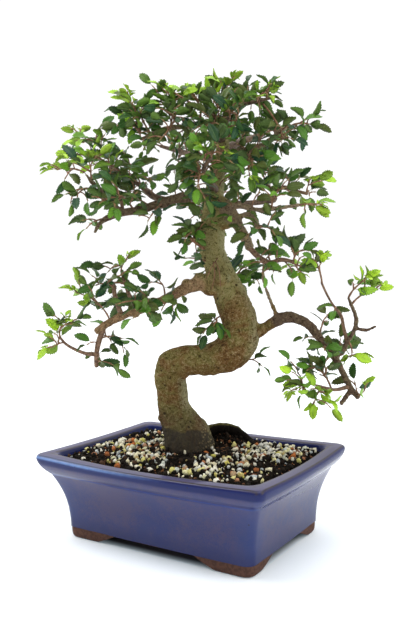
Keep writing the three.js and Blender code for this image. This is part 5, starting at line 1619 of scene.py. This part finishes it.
def grain_tree():
    """Seeded places on the surface, each with a rough grain, and a number from 0 to 1 for its kind."""
    tree = bpy.data.node_groups.new("scatter_grains", "GeometryNodeTree")
    for name, kind in (
        ("Surface", "Geometry"), ("Spacing", "Float"), ("Density", "Float"), ("Smallest", "Float"),
        ("Largest", "Float"), ("Lift", "Vector"), ("First kind", "Float"), ("Last kind", "Float"),
        ("Seed", "Int"), ("Samples", "Collection"), ("Finish", "Material"),
    ):
        tree.interface.new_socket(name, in_out="INPUT", socket_type="NodeSocket" + kind)
    tree.interface.new_socket("Grains", in_out="OUTPUT", socket_type="NodeSocketGeometry")
    given = tree.nodes.new("NodeGroupInput").outputs

    def step(kind, values, **settings):
        """One node's outputs: its settings first, then the values or links of its sockets."""
        node = tree.nodes.new(kind)
        for key, value in settings.items():
            setattr(node, key, value)
        for key, value in values.items():
            if isinstance(value, bpy.types.NodeSocket):
                tree.links.new(value, node.inputs[key])
            else:
                node.inputs[key].default_value = value
        return node.outputs

    drift = step("GeometryNodeInputNamedAttribute", {"Name": "drift"})
    spread = {"Mesh": given["Surface"], "Distance Min": given["Spacing"], "Density Max": given["Density"]}
    spread.update({"Density Factor": drift[0], "Seed": given["Seed"]})
    scatter = step("GeometryNodeDistributePointsOnFaces", spread, distribute_method="POISSON")
    raised = step("GeometryNodeSetPosition", {"Geometry": scatter["Points"], "Offset": given["Lift"]})
    pick = {"Collection": given["Samples"], "Separate Children": True, "Reset Children": True}
    samples = step("GeometryNodeCollectionInfo", pick)
    sizes = {2: given["Smallest"], 3: given["Largest"], "Seed": given["Seed"]}
    size = step("FunctionNodeRandomValue", sizes, data_type="FLOAT")
    turns = {1: (2 * math.pi,) * 3, "Seed": given["Seed"]}
    turn = step("FunctionNodeRandomValue", turns, data_type="FLOAT_VECTOR")
    stand = {"Points": raised[0], "Instance": samples[0], "Rotation": turn[0], "Scale": size[1]}
    stand = step("GeometryNodeInstanceOnPoints", {**stand, "Pick Instance": True})
    kinds = {2: given["First kind"], 3: given["Last kind"], "Seed": KIND_SEED}
    kind = step("FunctionNodeRandomValue", kinds, data_type="FLOAT")
    store = {"Geometry": stand[0], "Name": "kind", "Value": kind[1]}
    store = step("GeometryNodeStoreNamedAttribute", store, domain="INSTANCE")
    real = step("GeometryNodeRealizeInstances", {0: store[0]})
    wear = step("GeometryNodeSetMaterial", {"Geometry": real[0], "Material": given["Finish"]})
    step("NodeGroupOutput", {0: wear[0]})
    return tree


def grow_with(obj, tree, **values):
    """Runs a node tree on a piece with these inputs."""
    step = obj.modifiers.new("grow", "NODES")
    step.node_group = tree
    sockets = {item.name: item.identifier for item in tree.interface.items_tree if item.in_out == "INPUT"}
    for name, value in values.items():
        step[sockets[name.replace("_", " ")]] = value
    keep_shape(obj)


scatter_grains = grain_tree()
for name, seed, spacing, density, sizes, lift, kinds, is_drift in (
    ("loose_grains", 7, 3.7, 82000.0, (0.9, 2.3), 0.9, (0.49, 1.0), True),
    ("small_grains", 13, 3.2, 60000.0, (0.35, 0.85), 0.6, (0.49, 1.0), True),
    ("bark_chips", 19, 4.4, 40000.0, (0.9, 2.0), 0.8, (0.0, 0.475), False),
    ("soil_crumbs", 11, 1.7, 330000.0, (0.25, 0.8), 0.0, (0.0, 0.48), False),
):
    grains = top.piece(name, [GRAINS], pot_frame)
    shares = [drift_share(x, y) if is_drift else 1.0 for x, y, _ in top_points]
    give_own(grains, drift=shares)
    grow_with(
        grains, scatter_grains, Spacing=spacing * MM, Density=density, Smallest=sizes[0], Largest=sizes[1],
        Lift=(0.0, 0.0, lift * MM), First_kind=kinds[0], Last_kind=kinds[1], Seed=seed,
        Samples=samples, Finish=GRAINS,
    )
    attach(grains, "root")
for sample in list(samples.objects):
    bpy.data.objects.remove(sample)
bpy.data.collections.remove(samples)

# Soil fibres
# Thin brown roots and coir threads lie loose on the soil, thickest at the far right corner.
# Each is a bent thread laid along the surface.

# Groups of threads: middle, reach, how many, and their length
FIBRES = [
    (-30, -36, 16, 3, 26), (-62, -8, 14, 3, 16), (30, -34, 22, 3, 22), (84, 44, 9, 14, 15),
    (26, 22, 12, 6, 30), (-10, -42, 14, 3, 18),
]
FIBRE_RADIUS = 0.32
FIBRE_SIDES = 5
FIBRE_STEPS = 6
FIBRE_LIFT = 0.5
FIBRE_ARCH = 1.6


def fibre_finish():
    fibre = Finish("soil_fibre", Roughness=0.8, Specular_IOR_Level=0.2)
    streaks = fibre.noise(fibre.place(), 300.0)
    return fibre.wear(fibre.mix(streaks.rise(0.4, 0.65), (0.035, 0.018, 0.01), (0.3, 0.14, 0.06)))


threads = Skin()
radii = [FIBRE_RADIUS * (1 - 0.08 * step) for step in range(FIBRE_STEPS + 1)]
for group, (x, y, reach, fibre_count, length) in enumerate(FIBRES):
    for k in range(fibre_count):
        number = 31 * group + k
        away = [reach * (2 * draw(number, axis, 20) - 1) for axis in (1, 2)]
        here = np.array([x + away[0], y + away[1]])
        heading = 2 * math.pi * draw(number, 3, 20)
        middles = []
        for step in range(FIBRE_STEPS + 1):
            arch = FIBRE_ARCH * math.sin(math.pi * step / FIBRE_STEPS) * draw(number, 5, 20)
            middles.append((here[0], here[1], soil_height(here[0], here[1]) + FIBRE_LIFT + arch))
            heading += 0.9 * (draw(number, 6, step) - 0.5)
            way = np.array([math.cos(heading), math.sin(heading)])
            here = here + way * length * (0.6 + 0.4 * draw(number, 4, 20)) / FIBRE_STEPS
        if all(abs(a) < BASE_HALF_LENGTH and abs(b) < BASE_HALF_WIDTH for a, b, _ in middles):
            threads.loft(tube_rings(np.array(middles), radii, FIBRE_SIDES))
fibres = threads.piece("soil_fibres", [fibre_finish()], pot_frame)
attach(fibres, "root")

# Floor, lights and camera
# A white table that runs on without an edge, lit softly from all round. Its paper also glows, faintly blue
# near the pot and brighter far off, and a shadow is painted dark under the pot.
# Soft lamps hang overhead and at the right, and a narrow one stands at the left.
FLOOR_SIZE = 12.0
FLOOR_GLOW = (0.1, 0.14, 0.16)
FAR_GLOW = (0.45, 0.45, 0.45)
FAR_START, FAR_END = 0.4, 1.6
SHADE_IN, SHADE_OUT = 14, 1
SKY_LIGHT = 1.06
DIM_LIGHT = 0.1
# The room is dim where a view runs along both of these: each direction, and where dimming starts and ends
DIM_WAYS = [((0.2, -0.98, 0), -0.2, 0.7), ((0, 0, 1), 0.16, 0.5)]
CAMERA_PLACE = (350.0, -520.7, 231.6)
CAMERA_TURN = TREE_TURN
CAMERA_DROP = math.radians(2.79)
CAMERA_ROLL = math.radians(1.04)
FOCAL_PIXELS = 700
IMAGE_HEIGHT = 624
SENSOR = 36

paper = Finish("white_paper", Roughness=0.9, Specular_IOR_Level=0.0, Emission_Strength=1)
from_pot = [paper.axis(paper.place(), letter) - centre for letter, centre in (("X", POT_X), ("Y", POT_Y))]
# Painted shadow: under the pot the paper is dark and gives no glow. Elsewhere it glows as painted light,
# faintly blue near the pot and brighter further off
beside_pot = [
    (away / MM).math("ABSOLUTE").rise(half_size - SHADE_IN, half_size - SHADE_OUT)
    for away, half_size in zip(from_pot, (BASE_HALF_LENGTH, BASE_HALF_WIDTH))
]
out_of_painted_shadow = beside_pot[0].math("MAXIMUM", beside_pot[1])
away = (from_pot[0] * from_pot[0] + from_pot[1] * from_pot[1]).math("POWER", 0.5)
far = away.rise(FAR_START, FAR_END)
glow = paper.mix(far, FLOOR_GLOW, FAR_GLOW)
paper.feed(paper.shader.inputs["Emission Color"], paper.mix(out_of_painted_shadow, (0, 0, 0), glow))
paper.wear(paper.mix(out_of_painted_shadow, (0.12, 0.11, 0.12), (0.92, 0.93, 0.945)))
floor_mesh = bpy.data.meshes.new("floor")
half = FLOOR_SIZE / 2
square = [(-half, -half, 0), (half, -half, 0), (half, half, 0), (-half, half, 0)]
floor_mesh.from_pydata(square, [], [(0, 1, 2, 3)])
floor_mesh.materials.append(paper.material)
floor = bpy.data.objects.new("floor", floor_mesh)
bpy.context.scene.collection.objects.link(floor)

world = bpy.data.worlds.new("studio")
world.use_nodes = True
room = world.node_tree.nodes
room["Background"].inputs["Color"].default_value = (1, 1, 1, 1)
link_room = world.node_tree.links.new
way = room.new("ShaderNodeTexCoord").outputs["Generated"]
dim_share = room.new("ShaderNodeMath")
dim_share.operation = "MULTIPLY"
for socket, (direction, start, end) in enumerate(DIM_WAYS):
    facing = room.new("ShaderNodeVectorMath")
    facing.operation = "DOT_PRODUCT"
    facing.inputs[1].default_value = direction
    ramp = room.new("ShaderNodeMapRange")
    ramp.interpolation_type = "SMOOTHSTEP"
    ramp.inputs["From Min"].default_value = start
    ramp.inputs["From Max"].default_value = end
    link_room(way, facing.inputs[0])
    link_room(facing.outputs["Value"], ramp.inputs[0])
    link_room(ramp.outputs[0], dim_share.inputs[socket])
strength = room.new("ShaderNodeMapRange")
strength.inputs["To Min"].default_value = SKY_LIGHT
strength.inputs["To Max"].default_value = DIM_LIGHT
link_room(dim_share.outputs[0], strength.inputs[0])
link_room(strength.outputs[0], room["Background"].inputs["Strength"])
bpy.context.scene.world = world


def soft_light(name, place, aim, width, height, power):
    """A soft box of this size, in metres and watts, turned to its aim."""
    data = bpy.data.lights.new(name, "AREA")
    data.shape = "RECTANGLE"
    data.size = width
    data.size_y = height
    data.energy = power
    light = bpy.data.objects.new(name, data)
    light.location = place
    light.rotation_euler = (Vector(aim) - Vector(place)).to_track_quat("-Z", "Y").to_euler()
    bpy.context.scene.collection.objects.link(light)


soft_light("overhead", (0.1, -0.1, 1.5), (0, 0, 0), 2.0, 2.0, 22)
soft_light("right_fill", (1.3, 0.1, 0.7), (0, 0, 0.15), 0.7, 0.7, 5)
soft_light("left_strip", (-0.7, -0.38, 0.85), (0, 0, 0.05), 0.28, 0.8, 5.5)

camera_data = bpy.data.cameras.new("camera")
camera_data.sensor_width = SENSOR
camera_data.lens = FOCAL_PIXELS / IMAGE_HEIGHT * SENSOR
camera = bpy.data.objects.new("camera", camera_data)
bpy.context.scene.collection.objects.link(camera)
right = Vector((math.cos(CAMERA_TURN), math.sin(CAMERA_TURN), 0))
level = math.cos(CAMERA_DROP)
back = Vector((math.sin(CAMERA_TURN) * level, -math.cos(CAMERA_TURN) * level, math.sin(CAMERA_DROP)))
above = back.cross(right)
across = right * math.cos(CAMERA_ROLL) - above * math.sin(CAMERA_ROLL)
upward = right * math.sin(CAMERA_ROLL) + above * math.cos(CAMERA_ROLL)
camera.matrix_world = Matrix((
    (across.x, upward.x, back.x, POT_X + CAMERA_PLACE[0] * MM),
    (across.y, upward.y, back.y, POT_Y + CAMERA_PLACE[1] * MM),
    (across.z, upward.z, back.z, CAMERA_PLACE[2] * MM),
    (0, 0, 0, 1),
))
bpy.context.scene.camera = camera
bpy.context.scene.view_settings.view_transform = "Standard"
